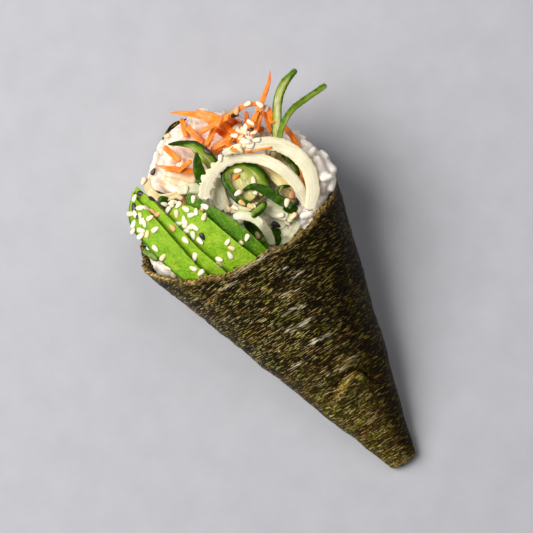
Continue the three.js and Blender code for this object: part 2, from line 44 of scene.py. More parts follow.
import bmesh
import bpy
import numpy as np
from mathutils import Matrix, Vector, noise
from mathutils.bvhtree import BVHTree

# ---------------------------------------------------------------- sizes
MM = 0.001
MIDDLE = (4.92, 80.78)  # the box's middle, from the tip
TIP_WIDTH = 9.2
TIP_HEIGHT = 4.5
WIDENING = 0.626  # of the cone, for each millimetre along it
RISING = 0.45
DRIFT = -0.023
TIP_X = 1.4
UNDERSIDE = 1.35  # how flat the cone is underneath, as a power
PRESSED = 0.3
SHEET = 0.8  # the sheet's thickness
PLY = 0.8  # the step where its outer end lies over it
SEAM = 196  # where that step is, in degrees
SEAM_SLOPE = 0.5
CAVITY = 9  # where the hollow starts
LIP_START = 136
LIP_CURL = 0.0125
GAP = 0.4
# How far the sheet reaches along the cone, by the angle round it.
RIM = (
    (0, 108.5), (30, 101.5), (60, 96.6), (90, 96.6), (120, 99.2), (145, 104.8), (165, 112), (190, 117),
    (210, 123.5), (232, 133), (250, 144.5), (264, 157), (274, 157), (297, 140), (325, 124), (345, 113.5),
)

# ---------------------------------------------------------------- small tools


def placed(points):
    """Working millimetres, as rows of x, y, z, in the roll's own frame in metres."""
    return (np.asarray(points, float) - (*MIDDLE, 0)) * MM


def through(keys):
    """A smooth function through pairs of key and value, level beyond its ends."""
    at, value = np.array(keys, float).T
    last = len(at) - 1
    before = np.maximum(np.arange(last + 1) - 1, 0)
    after = np.minimum(np.arange(last + 1) + 1, last)
    slope = (value[after] - value[before]) / (at[after] - at[before])

    def smooth(x):
        x = np.clip(x, at[0], at[-1])
        i = np.clip(np.searchsorted(at, x, side="right") - 1, 0, last - 1)
        span = at[i + 1] - at[i]
        t = (x - at[i]) / span
        bend = (1 - t) * t * span * ((1 - t) * slope[i] - t * slope[i + 1])
        return value[i] + (value[i + 1] - value[i]) * t * t * (3 - 2 * t) + bend

    return smooth


def around(keys):
    """The same through angles in degrees that close on themselves."""
    smooth = through([(k + turn, v) for turn in (-360, 0, 360) for k, v in keys])
    return lambda angle: smooth(np.mod(angle, 360))


def smoothstep(x, low, high):
    t = np.clip((np.asarray(x, float) - low) / (high - low), 0, 1)
    return t * t * (3 - 2 * t)


def spots(x, y=0.0, z=0.0):
    """Points from their x, y and z, spread over each other's rows and columns."""
    return np.stack(np.broadcast_arrays(x, y, z), -1)


def bell(x, middle, width):
    """A smooth hump, 1 in its middle."""
    return np.exp(-(((x - middle) / width) ** 2))


def rough(points, size, octaves=3, seed=0.0):
    """Smooth noise from -1 to 1 at rows of points, with a feature size for each axis."""
    scaled = np.asarray(points, float) / np.asarray(size, float) + seed
    flat = scaled.reshape(-1, 3)
    made = [noise.fractal(Vector(p), 1.0, 2.0, octaves, noise_basis="PERLIN_ORIGINAL") for p in flat]
    return np.array(made).reshape(scaled.shape[:-1])


def linked(name, data):
    """A new object in the scene."""
    made = bpy.data.objects.new(name, data)
    bpy.context.scene.collection.objects.link(made)
    return made


def evaluated(base, name):
    """A smooth copy of an object with its modifiers applied, as a plain mesh object of its own."""
    bpy.context.view_layer.update()
    graph = bpy.context.evaluated_depsgraph_get()
    mesh = bpy.data.meshes.new_from_object(base.evaluated_get(graph))
    mesh.name = name
    mesh.shade_smooth()
    return linked(name, mesh)


def drop(*objects):
    for gone in objects:
        bpy.data.objects.remove(gone)


def piece(name, points, faces, material, **attributes):
    """A mesh object from working millimetres, smooth shaded, with point attributes of one number."""
    mesh = bpy.data.meshes.new(name)
    mesh.from_pydata(placed(points).tolist(), [], faces)
    mesh.shade_smooth()
    for label, values in attributes.items():
        layer = mesh.attributes.new(label, "FLOAT", "POINT")
        layer.data.foreach_set("value", np.asarray(values, np.float32).ravel())
    mesh.materials.append(material)
    return linked(name, mesh)


def skin(rings):
    """Points and faces of a closed skin over rings of points, with a fan over each end."""
    rings = np.asarray(rings, float)
    rows, n, _ = rings.shape
    points = np.vstack([rings.reshape(-1, 3), rings[0].mean(0), rings[-1].mean(0)])
    faces = []
    for r in range(rows - 1):
        for i in range(n):
            a, b = r * n + i, r * n + (i + 1) % n
            faces.append((a, b, b + n, a + n))
    last = (rows - 1) * n
    for i in range(n):
        j = (i + 1) % n
        faces.append((rows * n, j, i))
        faces.append((rows * n + 1, last + i, last + j))
    ring, above = rings[1], rings[2]
    facing = np.cross(np.roll(ring, -1, axis=0) - ring, above - ring)
    outward = np.einsum("ij,ij->i", facing, ring - ring.mean(0)).sum()
    if outward < 0:
        faces = [tuple(reversed(f)) for f in faces]
    return points, faces


def with_ends(values):
    """Values on rings, followed by those of the two fans' middles."""
    values = np.asarray(values, float)
    return np.concatenate([values.ravel(), [values[0].mean(), values[-1].mean()]])


def closed(name, rings, material, **attributes):
    """A piece with a closed skin over rings, with attributes that are given on the rings."""
    points, faces = skin(rings)
    ended = {label: with_ends(values) for label, values in attributes.items()}
    return piece(name, points, faces, material, **ended)


food = []


def finished(made, slot, *nodes):
    """Hands a piece over: it rides with the roll, its slot is not used, and it stands for its solids, if
    any.
    """
    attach(made, "root")
    if nodes:
        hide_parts(*nodes)
    food.append(made)


# ---------------------------------------------------------------- camera, light and table
CAMERA_HEIGHT = 950
LENS = 166.6
SENSOR = 36
IMAGE = 533
TURN = math.radians(-32.75)  # of the picture's right edge from +X
CAMERA_X = -2.84
CAMERA_Y = 92.35
NEAREST = 0.05  # of what the camera draws, in metres
TABLE_REACH = 3.0
TABLE_Z = -0.00005


def make_camera():
    data = bpy.data.cameras.new("camera")
    data.lens = LENS
    data.sensor_width = SENSOR
    data.clip_start = NEAREST
    camera = linked("camera", data)
    camera.location = placed([CAMERA_X, CAMERA_Y, CAMERA_HEIGHT])
    camera.rotation_euler = (0, 0, TURN)
    bpy.context.scene.camera = camera


def make_table():
    mesh = bpy.data.meshes.new("table_top")
    sides = ((-1, -1), (1, -1), (1, 1), (-1, 1))
    corners = [(x * TABLE_REACH, y * TABLE_REACH, TABLE_Z) for x, y in sides]
    mesh.from_pydata(corners, [], [(0, 1, 2, 3)])
    mesh.materials.append(table_paint())
    table = linked("table_top", mesh)


def make_light(name, toward, elevation, distance, size, watts, colour):
    """A square soft light. toward is its direction on the table, as degrees from the picture's right."""
    data = bpy.data.lights.new(name, "AREA")
    data.shape = "SQUARE"
    data.size = size
    data.energy = watts
    data.color = colour
    light = linked(name, data)
    turn = TURN + math.radians(toward)
    up = math.radians(elevation)
    back = Vector((math.cos(turn) * math.cos(up), math.sin(turn) * math.cos(up), math.sin(up)))
    light.location = back * distance
    light.rotation_euler = back.to_track_quat("Z", "Y").to_euler()


def make_world(strength, colour):
    world = bpy.data.worlds.new("studio")
    world.use_nodes = True
    background = world.node_tree.nodes["Background"]
    background.inputs["Color"].default_value = (*colour, 1)
    background.inputs["Strength"].default_value = strength
    bpy.context.scene.world = world


# ---------------------------------------------------------------- paints


def srgb(red, green, blue):
    """A colour as seen on a screen, from 0 to 255, for a shader."""
    scaled = [c / 255 for c in (red, green, blue)]
    return tuple(c / 12.92 if c <= 0.04045 else ((c + 0.055) / 1.055) ** 2.4 for c in scaled) + (1,)


class Paint:
    """A material and short ways to add and join its nodes. Its colours are red, green, blue to 255."""

    FACTOR, FIRST, SECOND, MIXED = 0, 6, 7, 2  # sockets of a node that mixes colours

    def __init__(self, name, **settings):
        self.material = bpy.data.materials.new(name)
        self.material.use_nodes = True
        self.tree = self.material.node_tree
        self.shader = self.tree.nodes["Principled BSDF"]
        self.finish(**settings)

    def feed(self, socket, value):
        if isinstance(value, bpy.types.NodeSocket):
            self.tree.links.new(value, socket)
        else:
            socket.default_value = value

    def fill(self, made, inputs):
        for label, value in inputs.items():
            self.feed(made.inputs[label.replace("_", " ")], value)

    def finish(self, **inputs):
        self.fill(self.shader, inputs)
        return self.material

    def node(self, kind, **inputs):
        made = self.tree.nodes.new(kind)
        self.fill(made, inputs)
        return made

    def noise(self, place, detail, roughness, distortion):
        return self.node(
            "ShaderNodeTexNoise", Vector=place, Scale=1.0, Detail=detail, Roughness=roughness,
            Distortion=distortion,
        ).outputs["Fac"]

    def grain(self, across, along=None, detail=3.0, roughness=0.6, distortion=0.0):
        """Noise with feature sizes in millimetres across the roll and along it."""
        place = self.node("ShaderNodeTexCoord").outputs["Object"]
        sizes = (across, along or across, across)
        mapping = self.node("ShaderNodeMapping", Vector=place, Scale=[1 / (MM * s) for s in sizes])
        return self.noise(mapping.outputs["Vector"], detail, roughness, distortion)

    def streaks(self, long, wide, detail=3.0, distortion=0.0):
        """Noise that runs along a strip, by its attributes run and side in millimetres."""
        run = self.math("DIVIDE", self.attribute("run"), long)
        side = self.math("DIVIDE", self.attribute("side"), wide)
        place = self.node("ShaderNodeCombineXYZ", X=run, Y=side).outputs["Vector"]
        return self.noise(place, detail, 0.5, distortion)

    def attribute(self, name):
        made = self.tree.nodes.new("ShaderNodeAttribute")
        made.attribute_name = name
        return made.outputs["Fac"]

    def ramp(self, value, *stops):
        """Colours or greys at stops from 0 to 1."""
        made = self.node("ShaderNodeValToRGB", Fac=value)
        elements = made.color_ramp.elements
        while len(elements) < len(stops):
            elements.new(1.0)
        for element, (at, colour) in zip(elements, stops):
            element.position = at
            element.color = srgb(*colour) if isinstance(colour, tuple) else (colour, colour, colour, 1)
        return made.outputs["Color"]

    def mix(self, factor, first, second, kind="MIX"):
        made = self.tree.nodes.new("ShaderNodeMix")
        made.data_type = "RGBA"
        made.blend_type = kind
        for index, value in ((self.FACTOR, factor), (self.FIRST, first), (self.SECOND, second)):
            self.feed(made.inputs[index], srgb(*value) if isinstance(value, tuple) else value)
        return made.outputs[self.MIXED]

    def tint(self, factor, colour, stain):
        return self.mix(factor, colour, stain, "MULTIPLY")

    def math(self, kind, *values):
        made = self.tree.nodes.new("ShaderNodeMath")
        made.operation = kind
        for socket, value in zip(made.inputs, values):
            self.feed(socket, value)
        return made.outputs[0]

    def times(self, first, second):
        return self.math("MULTIPLY", first, second)

    def total(self, *parts):
        """A sum of values, each times its share."""
        total = 0.0
        for value, share in parts:
            total = self.math("MULTIPLY_ADD", value, share, total)
        return total

    def between(self, value, low, high, most=None):
        """A value as a share of the way from low to high, kept within 0 and 1, times the most if given."""
        share = self.node("ShaderNodeMapRange", Value=value, From_Min=low, From_Max=high).outputs["Result"]
        return share if most is None else self.times(share, most)

    def bump(self, height, millimetres, under=None):
        made = self.node("ShaderNodeBump", Height=height, Strength=1.0, Distance=millimetres * MM)
        if under is not None:
            self.feed(made.inputs["Normal"], under)
        return made.outputs["Normal"]


def table_paint():
    paint = Paint("pale_table", Roughness=0.8)
    colour = paint.ramp(paint.grain(14, detail=4), (0.3, (172, 172, 177)), (0.7, (178, 178, 183)))
    return paint.finish(Base_Color=colour)


def nori_paint():
    """Pressed seaweed: near black, with short olive and straw fibres laid across the sheet. Its palest
    flecks and strands are partly painted glints; it also has painted highlights along its streaks and the
    fold's edge, painted shade along the fold, and painted side shading across the cone.
    """
    paint = Paint("toasted_nori", Specular_IOR_Level=0.09, Specular_Tint=(1.0, 0.86, 0.62, 1))
    fibres = paint.grain(2.0, 0.3, roughness=0.65, distortion=0.25)
    flecks = paint.grain(1.1, 0.3, detail=2, distortion=0.3)
    strands = paint.grain(3.2, 0.3, detail=1, roughness=0.5, distortion=0.3)
    coarse = paint.grain(3.2, 0.8, distortion=0.4)
    patches = paint.grain(8, 5)
    greens = paint.grain(5, 3, distortion=1.0)
    clouds = paint.grain(7, 4, distortion=0.6)
    specks = paint.grain(0.7, 0.4, detail=2)
    # The attribute toasted holds painted side shading across the cone: painted shade on its +x side, a
    # little painted light on its -x side.
    shade = paint.attribute("toasted")
    low = paint.attribute("low")
    upper = paint.total((1.0, 1.0), (low, -0.7))
    finer = paint.total((paint.times(fibres, upper), 1.0), (paint.times(specks, low), 0.7))
    uneven = paint.total((-0.69, 1.0), (finer, 0.68), (coarse, 0.28), (clouds, 0.3))
    calm = paint.times(uneven, paint.total((1.0, 1.0), (low, -0.45)))
    # The level gets a painted highlight on the fold's lit edge and painted shade along its creased line.
    level = paint.total(
        (0.56, 1.0), (calm, 1.0), (shade, -0.02), (low, 0.03),
        (paint.attribute("ridge"), 0.035), (paint.attribute("crease"), -0.07),
    )
    # The brightest flecks of this ramp are partly the sheet's pale fibres and partly painted glints.
    dark = paint.ramp(
        level, (0.46, (14, 10, 2)), (0.53, (40, 31, 6)), (0.575, (76, 62, 15)), (0.61, (128, 114, 46)),
        (0.67, (246, 230, 160)),
    )
    # Thin strands painted pale: partly the sheet's pale fibres, partly painted glints.
    shining = paint.mix(paint.between(strands, 0.62, 0.66), dark, (206, 190, 128))
    browned = paint.tint(paint.between(patches, 0.46, 0.6), shining, (232, 206, 196))
    green = paint.tint(paint.between(greens, 0.48, 0.62), browned, (216, 228, 116))
    # Painted shade: the cone's +x side, away from the light, tinted darker and browner.
    toasted = paint.tint(shade, green, (176, 168, 112))
    rubbed = paint.times(paint.attribute("worn"), paint.between(flecks, 0.4, 0.54))
    worn = paint.mix(rubbed, toasted, (230, 190, 112))
    # Painted highlight: along the proud streaks the sheet is painted pale, dimmer toward the tip.
    pale = paint.mix(low, (255, 240, 206), (186, 166, 96))
    threads = paint.times(paint.attribute("proud"), paint.between(strands, 0.5, 0.56))
    return paint.finish(
        Base_Color=paint.mix(threads, worn, pale), Roughness=paint.ramp(flecks, (0.35, 0.28), (0.65, 0.5)),
        Normal=paint.bump(flecks, 0.3, paint.bump(fibres, 0.6)),
    )


def rice_paint():
    """Warm white, softly see-through, with a blush where carrot has coloured it."""
    paint = Paint(
        "cooked_rice", Roughness=0.4, Specular_IOR_Level=0.35, Subsurface_Weight=0.95,
        Subsurface_Scale=0.0036, Subsurface_Radius=(1.0, 0.85, 0.7),
    )
    colour = paint.ramp(paint.grain(3, detail=2), (0.3, (226, 215, 203)), (0.7, (237, 229, 218)))
    blushed = paint.tint(paint.attribute("blush"), colour, (255, 214, 190))
    return paint.finish(Base_Color=blushed, Normal=paint.bump(paint.grain(0.9), 0.1))


def avocado_paint():
    """Flesh from bright yellow-green to the darker green under the skin, by the attribute green."""
    paint = Paint(
        "avocado_flesh", Roughness=0.44, Specular_IOR_Level=0.2, Subsurface_Weight=0.15,
        Subsurface_Scale=0.001, Subsurface_Radius=(0.7, 1.0, 0.3),
    )
    flesh = paint.ramp(
        paint.attribute("green"), (0.0, (166, 194, 50)), (0.3, (134, 171, 26)), (0.6, (80, 123, 5)),
        (0.85, (42, 86, 2)), (1.0, (22, 50, 4)),
    )
    fibres = paint.grain(0.9, 3.2, distortion=0.5)
    clouds = paint.grain(4, 5)
    dots = paint.grain(0.9, 1.2)
    streaked = paint.tint(paint.between(fibres, 0.5, 0.66), flesh, (214, 250, 176))
    mottled = paint.tint(paint.between(clouds, 0.44, 0.62), streaked, (206, 228, 120))
    dotted = paint.mix(paint.between(dots, 0.52, 0.66, most=0.24), mottled, (180, 206, 86))
    return paint.finish(Base_Color=dotted, Normal=paint.bump(dots, 0.8))


def cucumber_paint():
    """Flesh and peel by the attribute peel, the distance in from the peel. Warm is how creamy it is."""
    paint = Paint(
        "cucumber_flesh", Roughness=0.3, Specular_IOR_Level=0.22, Specular_Tint=(1.0, 1.0, 0.7, 1),
        Subsurface_Weight=0.2, Subsurface_Scale=0.0012, Subsurface_Radius=(0.9, 1.0, 0.5),
    )
    deep = paint.between(paint.attribute("peel"), -0.5, 4.5)
    fresh = paint.ramp(
        deep, (0.05, (32, 66, 0)), (0.12, (58, 98, 0)), (0.2, (94, 130, 4)), (0.34, (126, 148, 34)),
        (0.56, (168, 174, 88)), (0.8, (200, 198, 146)), (1.0, (220, 213, 186)),
    )
    warm = paint.attribute("warm")
    greenish = paint.tint(paint.times(warm, -1.0), fresh, (232, 250, 222))
    creamy = paint.tint(warm, greenish, (252, 232, 200))
    fibres = paint.streaks(9, 0.9, detail=4, distortion=0.6)
    pale = paint.mix(paint.between(fibres, 0.5, 0.7, most=0.6), creamy, (236, 230, 208))
    seen = paint.mix(paint.between(deep, 0.1, 0.5), creamy, pale)
    shaded = paint.tint(paint.between(fibres, 0.48, 0.34, most=0.28), seen, (206, 196, 140))
    clear = paint.tint(paint.times(paint.attribute("edge"), 0.45), shaded, (222, 214, 160))
    relief = paint.bump(fibres, 0.03, paint.bump(paint.grain(1.1), 0.12))
    return paint.finish(Base_Color=clear, Normal=relief)


def carrot_paint():
    paint = Paint(
        "carrot", Roughness=0.36, Specular_IOR_Level=0.3, Subsurface_Weight=0.15, Subsurface_Scale=0.001,
        Subsurface_Radius=(1.0, 0.4, 0.1),
    )
    fibres = paint.streaks(4, 0.4, detail=4, distortion=0.3)
    colour = paint.ramp(fibres, (0.36, (224, 98, 2)), (0.5, (244, 126, 14)), (0.64, (250, 158, 54)))
    pale = paint.mix(paint.attribute("warm"), colour, (250, 190, 130))
    return paint.finish(Base_Color=pale, Normal=paint.bump(fibres, 0.25))


def ginger_paint():
    paint = Paint(
        "pickled_ginger", Roughness=0.28, Subsurface_Weight=0.45, Subsurface_Scale=0.002,
        Subsurface_Radius=(1.0, 0.6, 0.4),
    )
    layers = paint.streaks(12, 1.5, detail=2, distortion=0.4)
    colour = paint.ramp(layers, (0.36, (238, 184, 138)), (0.5, (244, 206, 168)), (0.66, (248, 224, 200)))
    return paint.finish(Base_Color=colour, Normal=paint.bump(layers, 0.06))


def sesame_paint():
    """Cream to toasted brown by the attribute toast, darker at the pointed end by the attribute tip."""
    paint = Paint("white_sesame", Roughness=0.5, Subsurface_Weight=0.15, Subsurface_Scale=0.0008)
    colour = paint.ramp(
        paint.attribute("toast"), (0.0, (240, 230, 204)), (0.35, (234, 212, 166)),
        (0.7, (226, 182, 122)), (1.0, (204, 134, 76)),
    )
    tipped = paint.mix(paint.between(paint.attribute("tip"), 0.6, 1.0, most=0.5), colour, (214, 158, 92))
    rimmed = paint.mix(paint.between(paint.attribute("rim"), 0.6, 1.0, most=0.4), tipped, (206, 156, 96))
    return paint.finish(Base_Color=rimmed, Normal=paint.bump(paint.grain(0.5), 0.08))


def black_sesame_paint():
    paint = Paint("black_sesame", Roughness=0.38)
    colour = paint.ramp(paint.attribute("toast"), (0.0, (34, 32, 38)), (1.0, (96, 34, 20)))
    return paint.finish(Base_Color=colour, Normal=paint.bump(paint.grain(0.4), 0.08))


# ---------------------------------------------------------------- the seaweed cone
FRAYS = ((0.5, 9, 0), (0.4, 17, 1))  # waves of the rim: height, how many, and turn
TORN = 1.1  # how ragged the rim is
WORN_RIM = (2.8, 0.4)  # how far from the rim the outside is worn pale
WORN_INSIDE = 0.8
WORN_TIP = 3
IN_FRONT = (112, 125)  # where the rim is in front of the filling, and so is worn
FREE_UP = (0.3, 3.5)  # how high over the table the sheet is free to crumple
FREE_ALONG = (2, 14)
TOASTED = (0.1, 0.6)  # how far across the cone the painted side shading reaches: painted shade toward its +x side, away from the light, and a little painted light toward its -x side
LOW = (36, 62)  # where the lower end of the cone goes over into the upper one
TIP_BLUNT = 0.35
TIP_REACH = 1.2
rim = around(RIM)


def frayed(angle):
    """How far the sheet reaches at an angle, with its uneven rim."""
    a = np.radians(angle)
    edge = rim(angle)
    for high, count, turn in FRAYS:
        edge = edge + high * np.sin(count * a + turn)
    return edge


def cone_width(y):
    return TIP_WIDTH / 2 + (WIDENING / 2) * y


def cone_height(y):
    return TIP_HEIGHT + RISING * y


def cone_middle(y):
    return TIP_X + DRIFT * y


def lip_lift(y):
    return LIP_CURL * np.maximum(0, y - LIP_START) ** 2


def wall(degrees, y, inset):
    """Points of the cone's wall, inset from its outside. The angle runs from +X over the top."""
    angle = np.radians(degrees)
    s = np.sin(angle)
    height = cone_height(y) - 2 * inset
    lifted = np.where(s > 0, 1 + s, np.maximum(1 + s, 0) ** UNDERSIDE)
    raw = height * lifted / 2
    z = np.maximum(0, raw - PRESSED) * height / (height - PRESSED)
    x = cone_middle(y) + (cone_width(y) - inset) * np.cos(angle)
    return spots(x, y, inset + z + lip_lift(y))


def angle_over(x, y, inset):
    """The angle of the wall over a place, up to 180 degrees."""
    across = np.clip((x - cone_middle(y)) / (cone_width(y) - inset), -1, 1)
    return np.degrees(np.arccos(across))


# Streaks where the sheet's fibres stand proud, painted pale along them as a painted highlight: ends in x,
# y, height and half width.
STREAKS = (
    ((-7.5, 74.3), (-0.6, 73.7), 0.5, 0.5), ((-3.6, 73.1), (1.2, 72.6), 0.4, 0.4),
    ((-8.3, 66.9), (1.4, 67.2), 0.65, 0.7), ((-9.9, 68.3), (-5.8, 68.6), 0.4, 0.5),
    ((-6.7, 59.5), (3.6, 58.4), 0.65, 0.8), ((1.6, 83.6), (8.2, 83.7), 0.45, 0.6),
    ((-0.3, 88.5), (3.5, 88.2), 0.35, 0.4), ((0.9, 79.0), (4.9, 79.7), 0.35, 0.4),
    ((-4.1, 80.4), (0.0, 79.9), 0.3, 0.4), ((-16.5, 55.2), (-10.6, 55.2), 0.4, 0.7),
    ((-5.4, 45.8), (5.5, 44.2), 0.5, 1.0), ((2.5, 46.6), (7.7, 45.7), 0.4, 0.8),
    ((-13.1, 44.8), (-10.2, 45.5), 0.35, 0.5), ((-6.1, 33.3), (-2.4, 32.6), 0.15, 0.3),
    ((-2.8, 32.6), (2.2, 32.6), 0.15, 0.3), ((1.8, 32.5), (4.7, 34.4), 0.15, 0.3),
    ((-23.6, 94.0), (-14.0, 93.7), 0.35, 0.6), ((-14.1, 96.3), (2.1, 95.6), 0.3, 0.7),
)
# The folded corner of the sheet under its outer ply, from left to right. It stands proud below this line.
FOLD = (
    (-13.4, 36), (-8.7, 38.2), (-5.6, 39.7), (-2.3, 41.3), (0.6, 42), (3.3, 41.6), (5.6, 40), (6.9, 37.2),
    (7.4, 33.6),
)
FOLD_HEIGHT = 1.7
FOLD_FADE = 8
FOLD_STEEP = 1.1
TROUGH_DEPTH = 0.5
# The trough beside the fold, the band of painted shade along its creased line and the band of painted
# highlight on its lit edge: how far from its line, and how wide.
TROUGH, CREASE, RIDGE = (0.5, 0.7), (-0.3, 0.6), (1.8, 1.3)
FOLD_ENDS = ((0.0, 0.15), (0.85, 1.0))
UPPER_SIDE = (0.45, 0.75)  # shares of the cone's height
# Waves, creases and coarse fibres of the sheet: height, sizes in x, y and z, octaves and seed.
WAVES = (0.5, (16, 11, 16), 2, 3.1)
CREASES = (0.2, (7.5, 2.2, 7.5), 3, 8.4)
COARSE = (0.12, (2.4, 0.9, 2.4), 3, 1.7)
CRUMPLED_FROM = (40, 70)
SIDES, OUTER_ROWS, INNER_ROWS = 270, 300, 36
TOP_ANGLES = (350, 550)
UNDER_SHARE = 0.4  # how close together the points lie underneath, against those on top


def beside(x, y, start, end):
    """How far along a line each place is, from 0 to 1, its distance from it, and its side."""
    (ax, ay), (bx, by) = start, end
    dx, dy = bx - ax, by - ay
    t = np.clip(((x - ax) * dx + (y - ay) * dy) / (dx * dx + dy * dy), 0, 1)
    ox, oy = x - ax - t * dx, y - ay - t * dy
    return t, np.hypot(ox, oy), np.sign(dx * oy - dy * ox)


def on_top(points):
    """Whether points lie on the upper side of the cone, from 0 to 1."""
    return smoothstep(points[..., 2] / cone_height(points[..., 1]), *UPPER_SIDE)


def streaks(points):
    """How strongly a streak's painted highlight shows at each point, and how high the streak stands."""
    strength, height = np.zeros((2, *points.shape[:-1]))
    for start, end, rise, width in STREAKS:
        t, off, _ = beside(points[..., 0], points[..., 1], start, end)
        ends = np.sin(np.pi * np.clip(t, 0.06, 0.94)) ** 0.5
        strength = np.maximum(strength, ends * bell(off, 0, 0.8 * width))
        height += rise * ends * bell(off, 0, width)
    return strength * on_top(points), height * on_top(points)


def fold(points):
    """Height of the folded corner that shows through the sheet, with its bands of painted shade along the
    creased line and painted highlight on its lit edge.
    """
    x, y = points[..., 0], points[..., 1]
    nearest = np.full(x.shape, np.inf)
    inside, place = np.zeros((2, *x.shape))
    for i, (start, end) in enumerate(zip(FOLD, FOLD[1:])):
        t, off, side = beside(x, y, start, end)
        closer = off < nearest
        nearest = np.where(closer, off, nearest)
        inside = np.where(closer, -side, inside)
        place = np.where(closer, (i + t) / (len(FOLD) - 1), place)
    ends = smoothstep(place, *FOLD_ENDS[0]) * (1 - smoothstep(place, *FOLD_ENDS[1]) * 0.8)
    crest = FOLD_HEIGHT * (1 - bell(nearest, 0, FOLD_STEEP)) * bell(nearest, 0, FOLD_FADE)
    trough = -TROUGH_DEPTH * bell(nearest, *TROUGH)
    shown = ends * on_top(points)
    # A band of painted shade along the creased line, and one of painted highlight on the fold's lit edge.
    crease = bell(nearest, CREASE[0] * inside, CREASE[1]) * shown
    ridge = bell(nearest, *RIDGE) * (inside > 0) * shown
    return np.where(inside > 0, crest, trough) * shown, crease, ridge


def relief(points):
    """Height of the sheet's waves, creases and coarse fibres over the cone."""
    crumpled = 0.45 + 0.55 * smoothstep(points[..., 1], *CRUMPLED_FROM)
    height = 0
    for (high, *kind), share in ((WAVES, 1), (CREASES, crumpled), (COARSE, crumpled)):
        height = height + high * share * rough(points, *kind)
    return height + streaks(points)[1] + fold(points)[0]


def normals_of(grid):
    """Unit normals of a grid of points, pointing away from the cone's middle line."""
    along = np.gradient(grid, axis=0)
    n = np.cross(np.gradient(grid, axis=1), along)
    n /= np.maximum(np.linalg.norm(n, axis=-1, keepdims=True), 1e-9)
    y = grid[..., 1]
    middle = spots(cone_middle(y), y, cone_height(y) / 2)
    flip = np.sign(np.einsum("ijk,ijk->ij", n, grid - middle))
    return n * flip[..., None]


def angles_round():
    """Angles round the sheet from its seam, closer together on top than underneath."""
    fine = np.linspace(SEAM + SEAM_SLOPE / 2, SEAM + 360 - SEAM_SLOPE / 2, 3000)
    share = np.cumsum(np.where((fine > TOP_ANGLES[0]) & (fine < TOP_ANGLES[1]), 1.0, UNDER_SHARE))
    share = (share - share[0]) / (share[-1] - share[0])
    return np.interp(np.linspace(0, 1, SIDES + 1), share, fine)


def make_nori():
    """The rolled sheet: its outside from tip to rim, then its inside from the rim to the cavity's end."""
    angles = angles_round()
    turned = np.radians(angles)
    torn = rough(spots(np.cos(turned), np.sin(turned)), (0.04, 0.04, 1), 3, seed=5.0)
    edge = frayed(angles) + TORN * torn
    y = np.linspace(0, 1, OUTER_ROWS)[:, None] * edge
    outer = wall(angles, y, 0)
    wrapped = PLY * (angles - SEAM) / 360
    outer[..., 0] += wrapped * np.cos(turned)
    outer[..., 2] = np.maximum(outer[..., 2] + wrapped * np.sin(turned), lip_lift(y))
    free = smoothstep(outer[..., 2] - lip_lift(y), *FREE_UP) * smoothstep(y, *FREE_ALONG)
    # Where the streaks get their painted highlight.
    proud = streaks(outer)[0]
    # The fold's bands of painted shade along its creased line and painted highlight on its lit edge.
    _, crease, ridge = fold(outer)
    lift = (relief(outer) * free)[..., None] * normals_of(outer)
    outer = outer + lift
    blunt = 1 - TIP_BLUNT * np.clip(1 - y / TIP_REACH, 0, 1) ** 2
    for axis, middle in ((0, TIP_X), (2, TIP_HEIGHT / 2)):
        outer[..., axis] = middle + (outer[..., axis] - middle) * blunt
    back = np.linspace(1, 0, INNER_ROWS) ** 1.6
    inside_y = CAVITY + back[:, None] * (edge - CAVITY)
    inner = wall(angles, inside_y, SHEET)
    for i in range(SIDES + 1):
        for k in range(3):
            inner[:, i, k] += np.interp(inside_y[:, i], y[:, i], lift[:, i, k])
    rings = np.concatenate([outer, inner])
    rings[..., 2] = np.maximum(rings[..., 2], 0)
    in_front = 1 - smoothstep(edge, *IN_FRONT)
    far, near = WORN_RIM
    worn_out = smoothstep(y, edge - far, edge - near) * 0.9 * in_front + smoothstep(-y, -WORN_TIP, 0) * 0.6
    worn_in = smoothstep(inside_y, edge - WORN_INSIDE, edge) * 0.7 * in_front
    speckle = 0.55 + 1.3 * rough(rings, (1.6, 0.9, 1.6), 3, seed=2.0)
    worn = np.clip(np.concatenate([worn_out, worn_in]) * speckle, 0, 1)
    proud, crease, ridge = (np.concatenate([part, 0 * inner[..., 0]]) for part in (proud, crease, ridge))
    beside_middle = (rings[..., 0] - cone_middle(rings[..., 1])) / cone_width(rings[..., 1])
    # The attribute toasted is painted side shading: painted shade toward the cone's +x side, away from the
    # light, and a little painted light toward its -x side.
    cone = closed(
        "nori_sheet", rings, nori_paint(), worn=worn, proud=proud, crease=crease, ridge=ridge,
        toasted=smoothstep(beside_middle, *TOASTED) - 0.5 * smoothstep(-beside_middle, *TOASTED),
        low=1 - smoothstep(rings[..., 1], *LOW),
    )
    finished(cone, "toasted_nori", "nori_wrap")


# ---------------------------------------------------------------- laying things on the food
SINK = 0.3  # how deep a loose strip is pressed in
HIGH = 200  # above all of the food
LIES_ON = (-0.6, 0, 0.6)  # where a loose strip touches what it lies on, as shares of its half width
TAUT = 12  # how often it is drawn straight over dips
SOFT = 3  # how often it is then drawn toward its neighbours


def filled(heights):
    """Heights along a line, where the unknown ones lie between their neighbours."""
    known = ~np.isnan(heights)
    places = np.arange(len(heights))
    return np.interp(places, places[known], heights[known])


def eased(heights, times):
    """Heights along a line, drawn toward their neighbours."""
    for _ in range(times):
        heights[1:-1] = (heights[:-2] + 2 * heights[1:-1] + heights[2:]) / 4
    return heights


